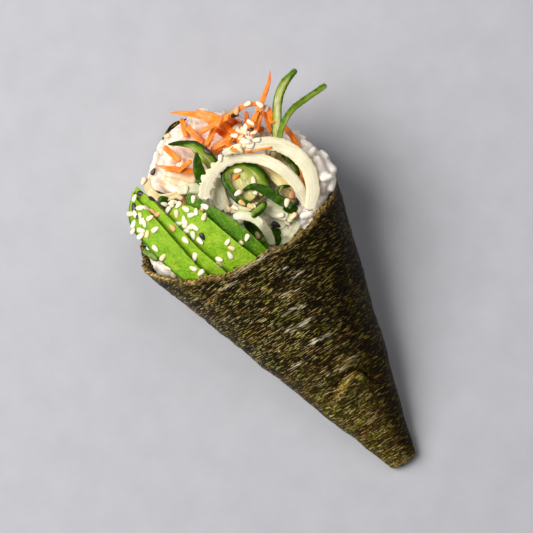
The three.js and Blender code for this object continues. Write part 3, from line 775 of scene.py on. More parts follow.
class Surface:
    """The food as made so far, without the pieces that are left out."""

    def __init__(self, *left_out):
        self.layers = []
        for made in food:
            if made.name not in left_out:
                self.add(made)

    def add(self, made):
        self.layers.append(BVHTree.FromObject(made, bpy.context.evaluated_depsgraph_get()))

    def hit(self, start, direction):
        """The first point along a ray and its normal."""
        found = [tree.ray_cast(start, direction) for tree in self.layers]
        found = [f for f in found if f[0] is not None]
        return min(found, key=lambda f: f[3])[:2] if found else (None, None)

    def sight(self, column, row):
        """The line of sight through a place in the picture."""
        camera = bpy.context.scene.camera
        share = SENSOR / LENS / IMAGE
        ray = Vector(((column - IMAGE / 2) * share, (IMAGE / 2 - row) * share, -1))
        return camera.location, (camera.rotation_euler.to_matrix() @ ray).normalized()

    def seen(self, column, row):
        """The point and normal of the food that shows at a place in the picture."""
        return self.hit(*self.sight(column, row))

    def top(self, x, y):
        """How high the food stands at a place, in working millimetres."""
        point = self.hit(Vector(placed([x, y, HIGH])), Vector((0, 0, -1)))[0]
        return math.nan if point is None else point.z / MM

    def path(self, picture):
        """Places in the picture as working x and y on the food, or level with it beside it."""
        points = [self.seen(column, row)[0] for column, row in picture]
        level = float(np.mean([q.z for q in points if q is not None]))
        for i, place in enumerate(picture):
            if points[i] is None:
                start, ray = self.sight(*place)
                points[i] = start + ray * ((level - start.z) / ray.z)
        return [(q.x / MM + MIDDLE[0], q.y / MM + MIDDLE[1]) for q in points]

    def lying(self, line, left_hand, half, thick):
        """Heights of a loose strip's middle: it spans dips and sinks a little into what is soft."""
        under = []
        for (x, y), (across, up), wide in zip(line, left_hand, half):
            under.append([self.top(x + across * wide * s, y + up * wide * s) for s in LIES_ON])
        under = filled(np.median(np.array(under), axis=1) - SINK)
        heights = under.copy()
        for _ in range(TAUT):
            heights[1:-1] = np.maximum(under[1:-1], (heights[:-2] + heights[2:]) / 2)
        return eased(heights, SOFT) + thick / 2


# ---------------------------------------------------------------- the rice
# The bed of rice: its height along the cone, and how far it reaches to the right and to the left.
BED = (
    (14, 30), (60, 27), (82, 24.5), (92, 29.5), (102, 32), (110, 31.5), (120, 29), (130, 25.5),
    (140, 20.5), (150, 15.5), (157, 10),
)
BED_RIGHT = (
    (104, 37.4), (111, 38.2), (117, 36.2), (121, 35.2), (127, 33), (132, 30.2), (136, 26.6), (142, 20.5),
    (151, 12.5), (156, 5),
)
BED_LEFT = (
    (104, -38), (112, -38), (120, -37), (128, -33.5), (136, -28.5), (144.4, -21.9), (146.6, -19.6),
    (149.2, -16.6), (150.7, -13.8), (152.3, -11.2), (153.8, -8.4), (154.8, -4),
)
BED_START, BED_COVERED, BED_END = 16, 70, 154.8
BED_MIDDLE = (84, 87)  # between these, its rings change from wide to close spacing
CROWN = 0.22  # how much lower the bed is at its sides
HEAPED = 7
HEAPED_ACROSS = (14, 27)
HEAPED_ALONG = (108, 128)
PAST_RIM = 14  # how far the rice may stand over the cone once it is past the rim
OVER_RIM = (0.5, 5)
OVER_RIM_ACROSS = (12, 24)
THINNEST = 0.6  # the rice ends where it would be thinner than this
EDGE_STEP = 0.1
SHOULDER = 11
SHOULDER_ACROSS = (27.5, 33)
SHOULDER_ALONG = (116, 136)
GRAIN = (2.9, 1.3, 1.25)  # half sizes of a cooked grain
LONE_GRAIN = (2.7, 1.45, 1.35)
LONE_PROUD = 0.5  # how high the middle of a single grain lies
GRAIN_SPACING = 2.2
GRAIN_SUNK = (0.5, 0.75)  # how far the heap is below the grains' middles, at the left and the right
SUNK_ACROSS = (-5, 25)
HEAP_FROM = 8  # the first ring of the bed that shows
HEAP_RINGS = 56
ROUND_BED = 120
UPPER = (1.0, 4.0)  # how far over the sheet the bed counts as its upper side
UNDER_RIM = 5.0  # how far the grains go on under the rim
OPEN_FROM = 90
GRAIN_DENSITY = 400000.0  # at most this many grains a square metre
GRAIN_TURNS = ((-0.3, -0.16, 0.0), (0.3, 0.16, math.tau))
GRAIN_SIZES = ((0.8, 0.9, 0.9), (1.15, 1.12, 1.1))
LUMPS = (0.8, (4.4, 4.4, 3), 2, 4.0)  # of the heap: height, sizes, octaves and seed
CORE_BELOW = 1.6  # how far the core lies under the heap
MELT = 0.45  # how finely the melted grains are drawn
BLUSH = ((2, 143, 11, 0.8), (-14, 138, 8, 0.6))  # where carrot has coloured the rice: x, y, reach, strength
# Single grains that stand out of the heap: column and row in the 533 pixel picture frame, the way
# the grain points, in degrees from the picture's right, and its size.
LOOSE_RICE = (
    (323.7, 155.5, 115, 0.85), (329, 167, 125, 1.25), (331, 173, 60, 1.1), (306, 145, 150, 1.0),
    (311.5, 153.5, 60, 0.95), (319, 163, 120, 1.0), (322.3, 186, 80, 1.1), (326.5, 177, 20, 0.9),
    (331, 184, 65, 1.05), (323.5, 198, 60, 1.0), (318.6, 205.5, 50, 0.9), (300, 138, 160, 0.9),
    (307, 214.5, 20, 1.0), (303, 221, 45, 0.9), (315.5, 193.5, 100, 0.8), (295, 134, 150, 0.8),
    (162, 146, 70, 0.9), (157, 158, 100, 0.9), (155, 170, 80, 0.9), (164, 261, -20, 0.85),
    (170, 267, -40, 0.85), (166, 272, -35, 0.8), (203, 112, 10, 0.8), (219, 117, 20, 0.8),
)
bed = through(BED)
bed_right = through(BED_RIGHT)
bed_left = through(BED_LEFT)


def bed_height(x, y):
    """How high the rice stands, with a heap and a shoulder at the right of the rim."""
    across = np.minimum(np.abs(x - cone_middle(y)) / cone_width(y), 1.1)
    by_the_rim = smoothstep(x, *HEAPED_ACROSS) * (1 - smoothstep(y, *HEAPED_ALONG))
    shoulder = smoothstep(x, *SHOULDER_ACROSS) * (1 - smoothstep(y, *SHOULDER_ALONG))
    return bed(y) * (1 - CROWN * across ** 5) + HEAPED * by_the_rim + SHOULDER * shoulder


def covered(x, y, margin=0.0):
    """Whether the sheet is over a place."""
    across = (x - cone_middle(y)) / (cone_width(y) - SHEET)
    return (np.abs(across) < 1) & (y < frayed(angle_over(x, y, SHEET)) + margin)


def rice_ring(y, sides):
    """The rice's outline across the cone at one place along it."""
    inset = SHEET + GAP * 1.6

    def floor(x):
        return wall(-angle_over(x, y, inset), y, inset)[..., 2]

    def top(x):
        angle = angle_over(x, y, inset)
        past_rim = smoothstep(y - frayed(angle), *OVER_RIM) * smoothstep(x, *OVER_RIM_ACROSS)
        return np.minimum(bed_height(x, y), wall(angle, y, inset)[..., 2] + PAST_RIM * past_rim)

    def reach(side, limit):
        edge = cone_middle(y) + side * (cone_width(y) - inset - 0.01)
        x = min(limit, edge) if side > 0 else max(limit, edge)
        while y > BED_COVERED and top(x) < floor(x) + THINNEST:
            x -= side * EDGE_STEP
        return x

    right, left = reach(1, bed_right(y)), reach(-1, bed_left(y))
    turn = np.arange(sides) / sides * 2 * np.pi
    u = np.cos(turn)
    x = (right + left) / 2 + (right - left) / 2 * u
    half = (top(x) - floor(x)) / 2 * np.sqrt(np.maximum(1 - u ** 8, 0)) * np.sign(np.sin(turn))
    return spots(x, y, (top(x) + floor(x)) / 2 + half)


def egg(name, half, around_it, rows, material, point=0.0, bend=0.0, blunt=0.75):
    """A grain or seed along X: point draws one end out, and bend curves it. Sizes in millimetres."""
    angles = np.arange(around_it) / around_it * 2 * np.pi
    rings = []
    for t in np.linspace(-1, 1, rows + 2)[1:-1]:
        s = math.sin(t * math.pi / 2)
        wide = math.cos(t * math.pi / 2) ** blunt * (1 - point * s)
        ring = [(half[0] * s, half[1] * wide * math.cos(a), half[2] * wide * math.sin(a) + bend * s * s)
                for a in angles]
        rings.append(ring)
    points, faces = skin(rings)
    points[-2] = (-half[0], 0, bend)
    points[-1] = (half[0], 0, bend)
    made = piece(
        name, points, faces, material, tip=[p[0] / half[0] for p in points],
        rim=[abs(p[1]) / half[1] for p in points],
    )
    made.data.transform(Matrix.Translation(placed([0, 0, 0])).inverted())
    return made


class Tree:
    """A geometry node tree with named inputs, applied once to an object."""

    def __init__(self, name):
        self.tree = bpy.data.node_groups.new(name, "GeometryNodeTree")
        for way in ("INPUT", "OUTPUT"):
            self.tree.interface.new_socket("Geometry", in_out=way, socket_type="NodeSocketGeometry")
        self.start = self.tree.nodes.new("NodeGroupInput")
        self.end = self.tree.nodes.new("NodeGroupOutput")
        self.values = {}

    def take(self, label, kind, value):
        socket = self.tree.interface.new_socket(label, in_out="INPUT", socket_type=kind)
        self.values[socket.identifier] = value
        return self.start.outputs[label]

    def node(self, kind, settings=None, **inputs):
        made = self.tree.nodes.new(kind)
        for label, value in (settings or {}).items():
            setattr(made, label, value)
        for label, value in inputs.items():
            socket = next(s for s in made.inputs if s.name == label.replace("_", " ") and s.enabled)
            if isinstance(value, bpy.types.NodeSocket):
                self.tree.links.new(value, socket)
            else:
                socket.default_value = value
        return made

    def result(self, made, label=None):
        return next(s for s in made.outputs if s.enabled and label in (None, s.name))

    def stored(self, label, kind):
        made = self.node("GeometryNodeInputNamedAttribute", {"data_type": kind}, Name=label)
        return self.result(made)

    def random(self, limits, seed):
        """A random vector for each point, between two limits."""
        low, high = limits
        kind = {"data_type": "FLOAT_VECTOR"}
        return self.node("FunctionNodeRandomValue", kind, Min=low, Max=high, Seed=seed)

    def copies(self, points, info, turn, size):
        """A copy of an object on each point."""
        return self.result(self.node(
            "GeometryNodeInstanceOnPoints", Points=points, Instance=self.result(info, "Geometry"),
            Rotation=self.result(turn), Scale=size,
        ))

    def apply(self, base, name, instances, material):
        """Realizes the instances on the base object, as a plain mesh object of its own."""
        real = self.node("GeometryNodeRealizeInstances", Geometry=instances)
        painted = self.node("GeometryNodeSetMaterial", Geometry=self.result(real), Material=material)
        self.tree.links.new(self.result(painted), self.end.inputs[0])
        modifier = base.modifiers.new(name, "NODES")
        modifier.node_group = self.tree
        for identifier, value in self.values.items():
            modifier[identifier] = value
        made = evaluated(base, name)
        base.modifiers.remove(modifier)
        return made


def melted(loose, name, material):
    """One closed and slightly softened skin over all that a mesh holds."""
    melt = loose.modifiers.new("melt", "REMESH")
    melt.mode = "VOXEL"
    melt.voxel_size = MELT * MM
    soften = loose.modifiers.new("soften", "SMOOTH")
    soften.factor = 0.5
    soften.iterations = 1
    made = evaluated(loose, name)
    made.data.materials.clear()
    made.data.materials.append(material)
    return made


def blush_at(points):
    """How far carrot has coloured the rice at rows of points."""
    strength = np.zeros(len(points))
    for x, y, reach, most in BLUSH:
        off = np.hypot(points[:, 0] - x, points[:, 1] - y)
        strength = np.maximum(strength, most * bell(off, 0, reach))
    return strength


SIZES = (0.88, 1.08)  # of scattered seeds, against their full size
TILT = 0.25  # how far they roll, in radians
LEVELLED = 0.6  # how strongly they lie level, against the slope of the food under them


def scatter(name, shape, places, paint, surface, seed, proud, toast):
    """Lays copies of a shape on the food at places in the picture, each turned its own way."""
    draw = random.Random(seed)
    rows = []
    for column, row, *given in places:
        point, normal = surface.seen(column, row)
        heading, size, brown = draw.uniform(0, 360), draw.uniform(*SIZES), toast(draw)
        tilt = Matrix.Rotation(draw.uniform(-TILT, TILT), 3, "Y")
        if point is None:
            continue
        if given:
            heading, size = given
        upright = (normal * math.copysign(1, normal.z) + Vector((0, 0, LEVELLED))).normalized()
        turn = TURN + math.radians(heading)
        ahead = Vector((math.cos(turn), math.sin(turn), 0))
        ahead = (ahead - upright * ahead.dot(upright)).normalized()
        lie = Matrix((ahead, upright.cross(ahead), upright)).transposed() @ tilt
        rows.append((point + upright * proud * MM, lie.to_euler(), size, brown))
    mesh = bpy.data.meshes.new("places")
    mesh.from_pydata([r[0] for r in rows], [], [])
    for label, kind, part in (("lie", "FLOAT_VECTOR", 1), ("size", "FLOAT", 2), ("toast", "FLOAT", 3)):
        layer = mesh.attributes.new(label, kind, "POINT")
        held = "value" if kind == "FLOAT" else "vector"
        layer.data.foreach_set(held, np.array([row[part] for row in rows], np.float32).ravel())
    base = linked("places", mesh)
    tree = Tree(name + "_on_the_food")
    info = tree.node("GeometryNodeObjectInfo", Object=tree.take("Shape", "NodeSocketObject", shape))
    lie = tree.node("FunctionNodeEulerToRotation", Euler=tree.stored("lie", "FLOAT_VECTOR"))
    on = tree.copies(tree.start.outputs["Geometry"], info, lie, tree.stored("size", "FLOAT"))
    made = tree.apply(base, name, on, paint)
    drop(base, shape)
    return made


def make_rice():
    """The rice: a core, and a sticky heap of grains that melt into each other where it shows."""
    paint = rice_paint()
    wide, close = BED_MIDDLE
    hidden, heaped = np.linspace(BED_START, wide, HEAP_FROM), np.linspace(close, BED_END, HEAP_RINGS)
    rings = np.array([rice_ring(y, ROUND_BED) for y in (*hidden, *heaped)])
    open_air = ~covered(rings[..., 0], rings[..., 1], -UNDER_RIM) & (rings[..., 1] > OPEN_FROM)
    under = wall(-angle_over(rings[..., 0], rings[..., 1], SHEET), rings[..., 1], SHEET)
    upper = smoothstep(rings[..., 2] - under[..., 2], *UPPER) * open_air
    lumps = rough(rings, *LUMPS[1:]) * LUMPS[0]
    left, right = GRAIN_SUNK
    heap = rings.copy()
    below = left + (right - left) * smoothstep(rings[..., 0], *SUNK_ACROSS)
    heap[..., 2] += (lumps - below) * upper
    sunk = rings.copy()
    sunk[..., 2] += (lumps - CORE_BELOW) * upper
    core = closed("rice_core", sunk, paint, blush=0 * upper)
    shown = np.where(upper > 0.5, 1.0, 0.0)
    grown = closed("rice_heap", heap[HEAP_FROM:], paint, shown=shown[HEAP_FROM:])
    grain = egg("grain", GRAIN, 8, 6, paint, point=0.06, bend=0.2, blunt=0.6)
    tree = Tree("scattered_rice")
    strewn = tree.node(
        "GeometryNodeDistributePointsOnFaces", {"distribute_method": "POISSON"},
        Mesh=tree.start.outputs["Geometry"],
        Distance_Min=tree.take("Spacing", "NodeSocketFloat", GRAIN_SPACING * MM),
        Density_Max=tree.take("Density", "NodeSocketFloat", GRAIN_DENSITY),
        Density_Factor=tree.stored("shown", "FLOAT"),
        Seed=tree.take("Seed", "NodeSocketInt", 3),
    )
    info = tree.node("GeometryNodeObjectInfo", Object=tree.take("Grain", "NodeSocketObject", grain))
    spin = tree.random(GRAIN_TURNS, 5)
    lie = tree.node("FunctionNodeEulerToRotation", Euler=tree.result(spin))
    turned = tree.node("FunctionNodeRotateRotation", {"rotation_space": "LOCAL"},
                       Rotation=tree.result(strewn, "Rotation"), Rotate_By=tree.result(lie))
    size = tree.random(GRAIN_SIZES, 6)
    on = tree.copies(tree.result(strewn, "Points"), info, turned, tree.result(size))
    both = tree.node("GeometryNodeJoinGeometry", Geometry=on)
    tree.tree.links.new(tree.start.outputs["Geometry"], both.inputs["Geometry"])
    loose = tree.apply(grown, "rice_loose", tree.result(both), paint)
    surface = Surface()
    surface.add(loose)
    lone = egg("lone_grain", LONE_GRAIN, 14, 9, paint, point=0.04, bend=0.2, blunt=0.46)
    single = scatter("rice_single", lone, LOOSE_RICE, paint, surface, 21, LONE_PROUD, lambda draw: 0)
    together = bmesh.new()
    together.from_mesh(loose.data)
    together.from_mesh(single.data)
    together.to_mesh(loose.data)
    together.free()
    grains = melted(loose, "rice_grains", paint)
    points = np.array([v.co for v in grains.data.vertices], float) / MM + (*MIDDLE, 0)
    grains.data.attributes.new("blush", "FLOAT", "POINT").data.foreach_set("value", blush_at(points))
    drop(grain, grown, loose, single)
    finished(core, "sushi_rice", "rice_bed")
    finished(grains, "sushi_rice", "rice_bed")


# ---------------------------------------------------------------- avocado
SLICE = 2.6
LEAN = math.radians(33)
TUCKED = 4  # how far a slice goes on under the one to its left
SEAT = 4.4  # of the first slice, over the bed
SLICE_START = 83
SLICE_ROWS = 80
SLICE_ROUND = 56
TIP_FROM = 0.78  # how far along a slice its tip starts to narrow
TIP_ROUND = 2.4
TIP_LEAST = 0.1
TIP_BEND = 0.25
SKIN_FROM, SKIN_WIDE = 0.72, 0.2  # the green under the skin, across the first slice
SKIN_ALONG = (98, 106)
# Unevenness of a slice up, across, and of its green: height, sizes, octaves and seed.
DENTS = (0.22, (2.6, 5.5, 2.6), 3, 0.5)
WAVERS = (0.10, (4, 3, 4), 2, 7.5)
MOTTLES = (0.1, (4, 7, 4), 2, 3.5)
# The slices' borders from left to right, as places along the cone and across it.
SLICE_EDGES = (
    ((82, -25.4), (105, -32), (117, -35.3), (125, -36.8), (131, -37.5), (137, -36.3), (142.7, -31.6)),
    ((82, -19.4), (100, -22.5), (107, -24.2), (120.5, -26.4), (131, -28.1), (139.5, -29.7)),
    ((82, -12.9), (100.3, -16.9), (111, -20.1), (124.5, -22.7), (132, -24.3), (140.4, -25.6)),
    ((82, 0.2), (97.3, -4.1), (105.3, -7), (120, -11.3), (128.2, -13.3)),
    ((82, 5.4), (96.8, 0.9), (106, -1.2), (117, -5.2), (123.4, -8.5), (129.3, -10.6)),
)
SLICE_TIPS = (143.3, 144, 129.6, 131)
SLICE_GREEN = (0.25, 0.24, 0.18, 0.62)  # how dark each slice is
slice_edges = [through(keys) for keys in SLICE_EDGES]
slope = math.tan(LEAN)
drop_between = SLICE / math.cos(LEAN) + GAP


def slice_low(k, y):
    """How high a slice's left edge lies. Each slice leans on the one to its left."""
    if k == 0:
        return bed(y) + SEAT
    return slice_low(k - 1, y) + slope * (slice_edges[k](y) - slice_edges[k - 1](y)) - drop_between


def rounded(count, power):
    """Points round a square with rounded corners, from -1 to 1."""
    turn = (np.arange(count) + 0.5) / count * 2 * np.pi
    c, s = np.cos(turn), np.sin(turn)
    return np.sign(c) * np.abs(c) ** (2 / power), np.sign(s) * np.abs(s) ** (2 / power)


def make_slice(k, paint):
    """A slice that leans and narrows to its tip. Rings run along it, with u across and v up."""
    u, v = rounded(SLICE_ROUND, 9)
    along = np.linspace(0, 1, SLICE_ROWS)[:, None]
    y = SLICE_START + (SLICE_TIPS[k] - SLICE_START) * (1 - (1 - along) ** 1.25)
    past = np.maximum(0, (y - SLICE_START) / (SLICE_TIPS[k] - SLICE_START) - TIP_FROM) / (1 - TIP_FROM)
    narrow = np.sqrt(np.maximum(1 - past ** TIP_ROUND, 0))
    left, right = slice_edges[k](y), slice_edges[k + 1](y)
    first = k == 0
    left = left - (0 if first else TUCKED * narrow)
    bent = (right - left) * TIP_BEND * (1 - narrow) if first else 0
    x = (left + right) / 2 + bent + (right - left) / 2 * np.maximum(narrow, TIP_LEAST) * u
    face = slice_low(k, y) + slope * (x - slice_edges[k](y))
    rings = spots(x, y, face - SLICE / math.cos(LEAN) * (1 - v) / 2)
    left_skin = first * np.clip((-u - SKIN_FROM) / SKIN_WIDE, 0, 1) * smoothstep(y, *SKIN_ALONG)
    green = np.clip(SLICE_GREEN[k] + 0.5 * left_skin, 0, 1)
    for axis, (high, size, octaves, seed) in ((2, DENTS), (0, WAVERS)):
        rings[..., axis] += high * rough(rings, size, octaves, seed=k + seed)
    high, size, octaves, seed = MOTTLES
    green = np.clip(green + high * rough(rings, size, octaves, seed=k + seed), 0, 1)
    made = closed(f"avocado_{k + 1:02d}", rings, paint, green=green)
    finished(made, "avocado_flesh", f"avocado_slice_{k + 1:02d}")


# ---------------------------------------------------------------- strips
EVENED = 6  # how often a resting strip's heights are drawn toward their neighbours
FINE_STEPS = 30  # of the line between two points of a path
BLENDS = (((0, 1), (1, 2), (2, 3)), ((0, 2), (1, 3)), ((1, 2),))  # knots that are blended, level by level


def centreline(path, count):
    """Evenly spaced points and directions of a smooth line through the points of a path."""
    p = np.array(path, float)
    p = np.vstack([2 * p[0] - p[1], p, 2 * p[-1] - p[-2]])
    dense = []
    for i in range(1, len(p) - 2):
        near = p[i - 1:i + 3]
        steps = np.sqrt(np.linalg.norm(np.diff(near, axis=0), axis=1))
        knots = np.concatenate([[0], np.cumsum(steps)])
        t = np.linspace(knots[1], knots[2], FINE_STEPS, endpoint=i == len(p) - 3)[:, None]
        for spans in BLENDS:
            near = [
                (low * (knots[b] - t) + high * (t - knots[a])) / (knots[b] - knots[a])
                for (a, b), low, high in zip(spans, near, near[1:])
            ]
        dense.append(near[0])
    dense = np.vstack(dense)
    run = np.concatenate([[0], np.cumsum(np.linalg.norm(np.diff(dense, axis=0), axis=1))])
    at = np.linspace(0, run[-1], count)
    line = np.stack([np.interp(at, run, dense[:, k]) for k in range(2)], -1)
    along = np.gradient(line, axis=0)
    along /= np.linalg.norm(along, axis=1, keepdims=True)
    return line, along, at


def path_length(path):
    """How long a path is, straight from point to point."""
    return float(np.linalg.norm(np.diff(np.array(path, float), axis=0), axis=1).sum())


ROUND_STRIP = 32  # points round a strip
WAVER = 0.06  # how much its width wavers
SWELL = 1.2
BLUNT_END = 0.7
GROOVE = 0.03
FRILL_REACH = 2.5
UNPEELED = 9.0  # further from the peel than any flesh
PEEL_LUMPS = 0.45
WARM_WAVER = 0.15
APART = 60  # how far along its streaks one strip starts from the next


def spread(values, steps):
    """Values that are spread evenly from 0 to 1, at steps between them."""
    return np.interp(steps, np.linspace(0, 1, len(values)), values)


def resting(node, line, thick):
    """Heights of a strip's middle along a line, from the underside of its solid."""
    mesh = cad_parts[node].data
    solid = BVHTree.FromPolygons([v.co for v in mesh.vertices], [p.vertices for p in mesh.polygons])
    heights = np.full(len(line), np.nan)
    for i, (x, y) in enumerate(line):
        hit = solid.ray_cast(Vector(placed([x, y, -1.0])), Vector((0, 0, 1)))[0]
        if hit is not None:
            heights[i] = hit.z / MM + thick / 2
    return eased(filled(heights), EVENED)


def cut(thick, width, path, flesh=4.5, **more):
    """How a strip is cut: its thickness, widths and path, and what differs from a plain strip.

    peel is its side or sides, its share of the width along the strip, and how pale the flesh gets.
    Without peel, flesh says how far in the strip was cut. least is the darkest green of the peel.
    """
    plain = {
        "step": 0.38, "square": 3.4, "lumpy": 0.1, "sway": 10, "stiff": False, "taper": 0.01,
        "torn": (0.12, 0.12), "frill": 0.0, "thin_edge": 0.0, "warm": 0.2, "fade": 1.0,
        "peel": ("none", (0,), flesh),
    }
    plain.update(more, thick=thick, width=width, path=path)
    plain.setdefault("least", -0.15 if plain["peel"][0] == "top" else -0.5)
    return SimpleNamespace(**plain)


def torn_half(form, half, places, steps, waver, seed):
    """The half width of a strip with its nicks and spikes."""
    nicks = rough(places, (1.4, 1, 1), 3, seed=seed)
    spikes = np.maximum(0, 1 - 5 * np.abs(rough(places, (2.2, 1, 1), 1, seed=seed + 9))) - 0.3
    return half * (1 + WAVER * waver) + spread(form.torn, steps) * (0.8 * nicks + spikes)


def make_strip(name, node, form, paint, slot, seed, surface=None):
    """A ribbon, stick or shred. Its section is a rounded strip that rolls and wavers a little.

    It lies where its solid lies, or loose on the surface of the food.
    """
    path = form.path if surface is None else surface.path(form.path)
    count = max(14, int(path_length(path) / form.step))
    line, along, run = centreline(path, count)
    steps = np.linspace(0, 1, count)
    half = through(list(zip(np.linspace(0, 1, len(form.width)), form.width)))(steps) / 2
    left_hand = np.stack([-along[:, 1], along[:, 0]], -1)
    if surface is None:
        middle = resting(node, line, form.thick)
    else:
        middle = surface.lying(line, left_hand, half, form.thick)
    if form.stiff:
        middle = np.polyval(np.polyfit(run, middle, 1), run)
    # From here on, what varies along the strip is a column, and what varies round it is a row.
    run, steps, half, middle = (values[:, None] for values in (run, steps, half, middle))
    u, v = rounded(ROUND_STRIP, form.square)
    places = spots(run)
    waver = rough(places, (4, 1, 1), 2, seed=seed * 1.7)
    swell = rough(places, (2.2, 1, 1), 2, seed=seed * 2.3 + 40)
    edges = [torn_half(form, half, places, steps, waver, seed * k) for k in (3.1, 4.7)]
    deep = form.thick / 2 * (1 + SWELL * form.lumpy * swell)
    ends = np.minimum(run, run[-1] - run)
    blunt = np.clip(ends / np.minimum(half, BLUNT_END), 0, 1)
    closing = np.sqrt(np.clip(1 - (1 - blunt) ** 2, 0.04, 1))
    narrowing = np.clip(ends / form.taper, 0.02, 1) ** 0.7
    roll = np.radians(form.sway * waver)
    flat = half * u
    beyond = np.where(u > 0, *edges) - half
    across = (flat + beyond * np.sign(u) * u ** 6) * (closing * narrowing)
    grooves = rough(spots(run, flat), (7, 0.9, 1), 2, seed=seed * 5.3)
    thin = 1 - form.thin_edge * np.abs(u) ** 3
    upward = deep * closing * v * thin + GROOVE * grooves * np.abs(v)
    side = across * np.cos(roll) - upward * np.sin(roll)
    rise = across * np.sin(roll) + upward * np.cos(roll)
    threads = rough(spots(across), (0.8, 1, 1), 2, seed=seed)
    outward = smoothstep(run, run[-1] - FRILL_REACH, run[-1]) - smoothstep(-run, -FRILL_REACH, 0)
    outward = form.frill * outward * threads
    x, y = (line[:, k:k + 1] + left_hand[:, k:k + 1] * side + along[:, k:k + 1] * outward for k in (0, 1))
    rings = spots(x, y, middle + rise)
    lumps = rough(rings, (1.5, 1.5, 1.5), 2, seed=seed)
    rings[..., 2] += form.lumpy * lumps
    kind, shares, deepest = form.peel
    share = spread(shares, steps)
    full = 2 * half
    distance = {
        "left": (1 - u) * full / 2 - share * full,
        "right": (1 + u) * full / 2 - share * full,
        "both": (1 - np.abs(u)) * full / 2 - share * full,
        "top": (1 - v) * deep - share * 2 * deep,
        "none": np.full(rings.shape[:2], UNPEELED),
    }[kind]
    made = closed(
        name, rings, paint, peel=np.clip(distance / form.fade, form.least, deepest) + PEEL_LUMPS * lumps,
        warm=form.warm + WARM_WAVER * waver + 0 * u, run=run + APART * seed + 0 * u, side=flat,
        edge=np.abs(u) ** 6 + 0 * across,
    )
    if surface is None:
        finished(made, slot, node)
    else:
        finished(made, slot)
        surface.add(made)


PEEL = ("top", (1.2,), 0.35)  # nothing but skin
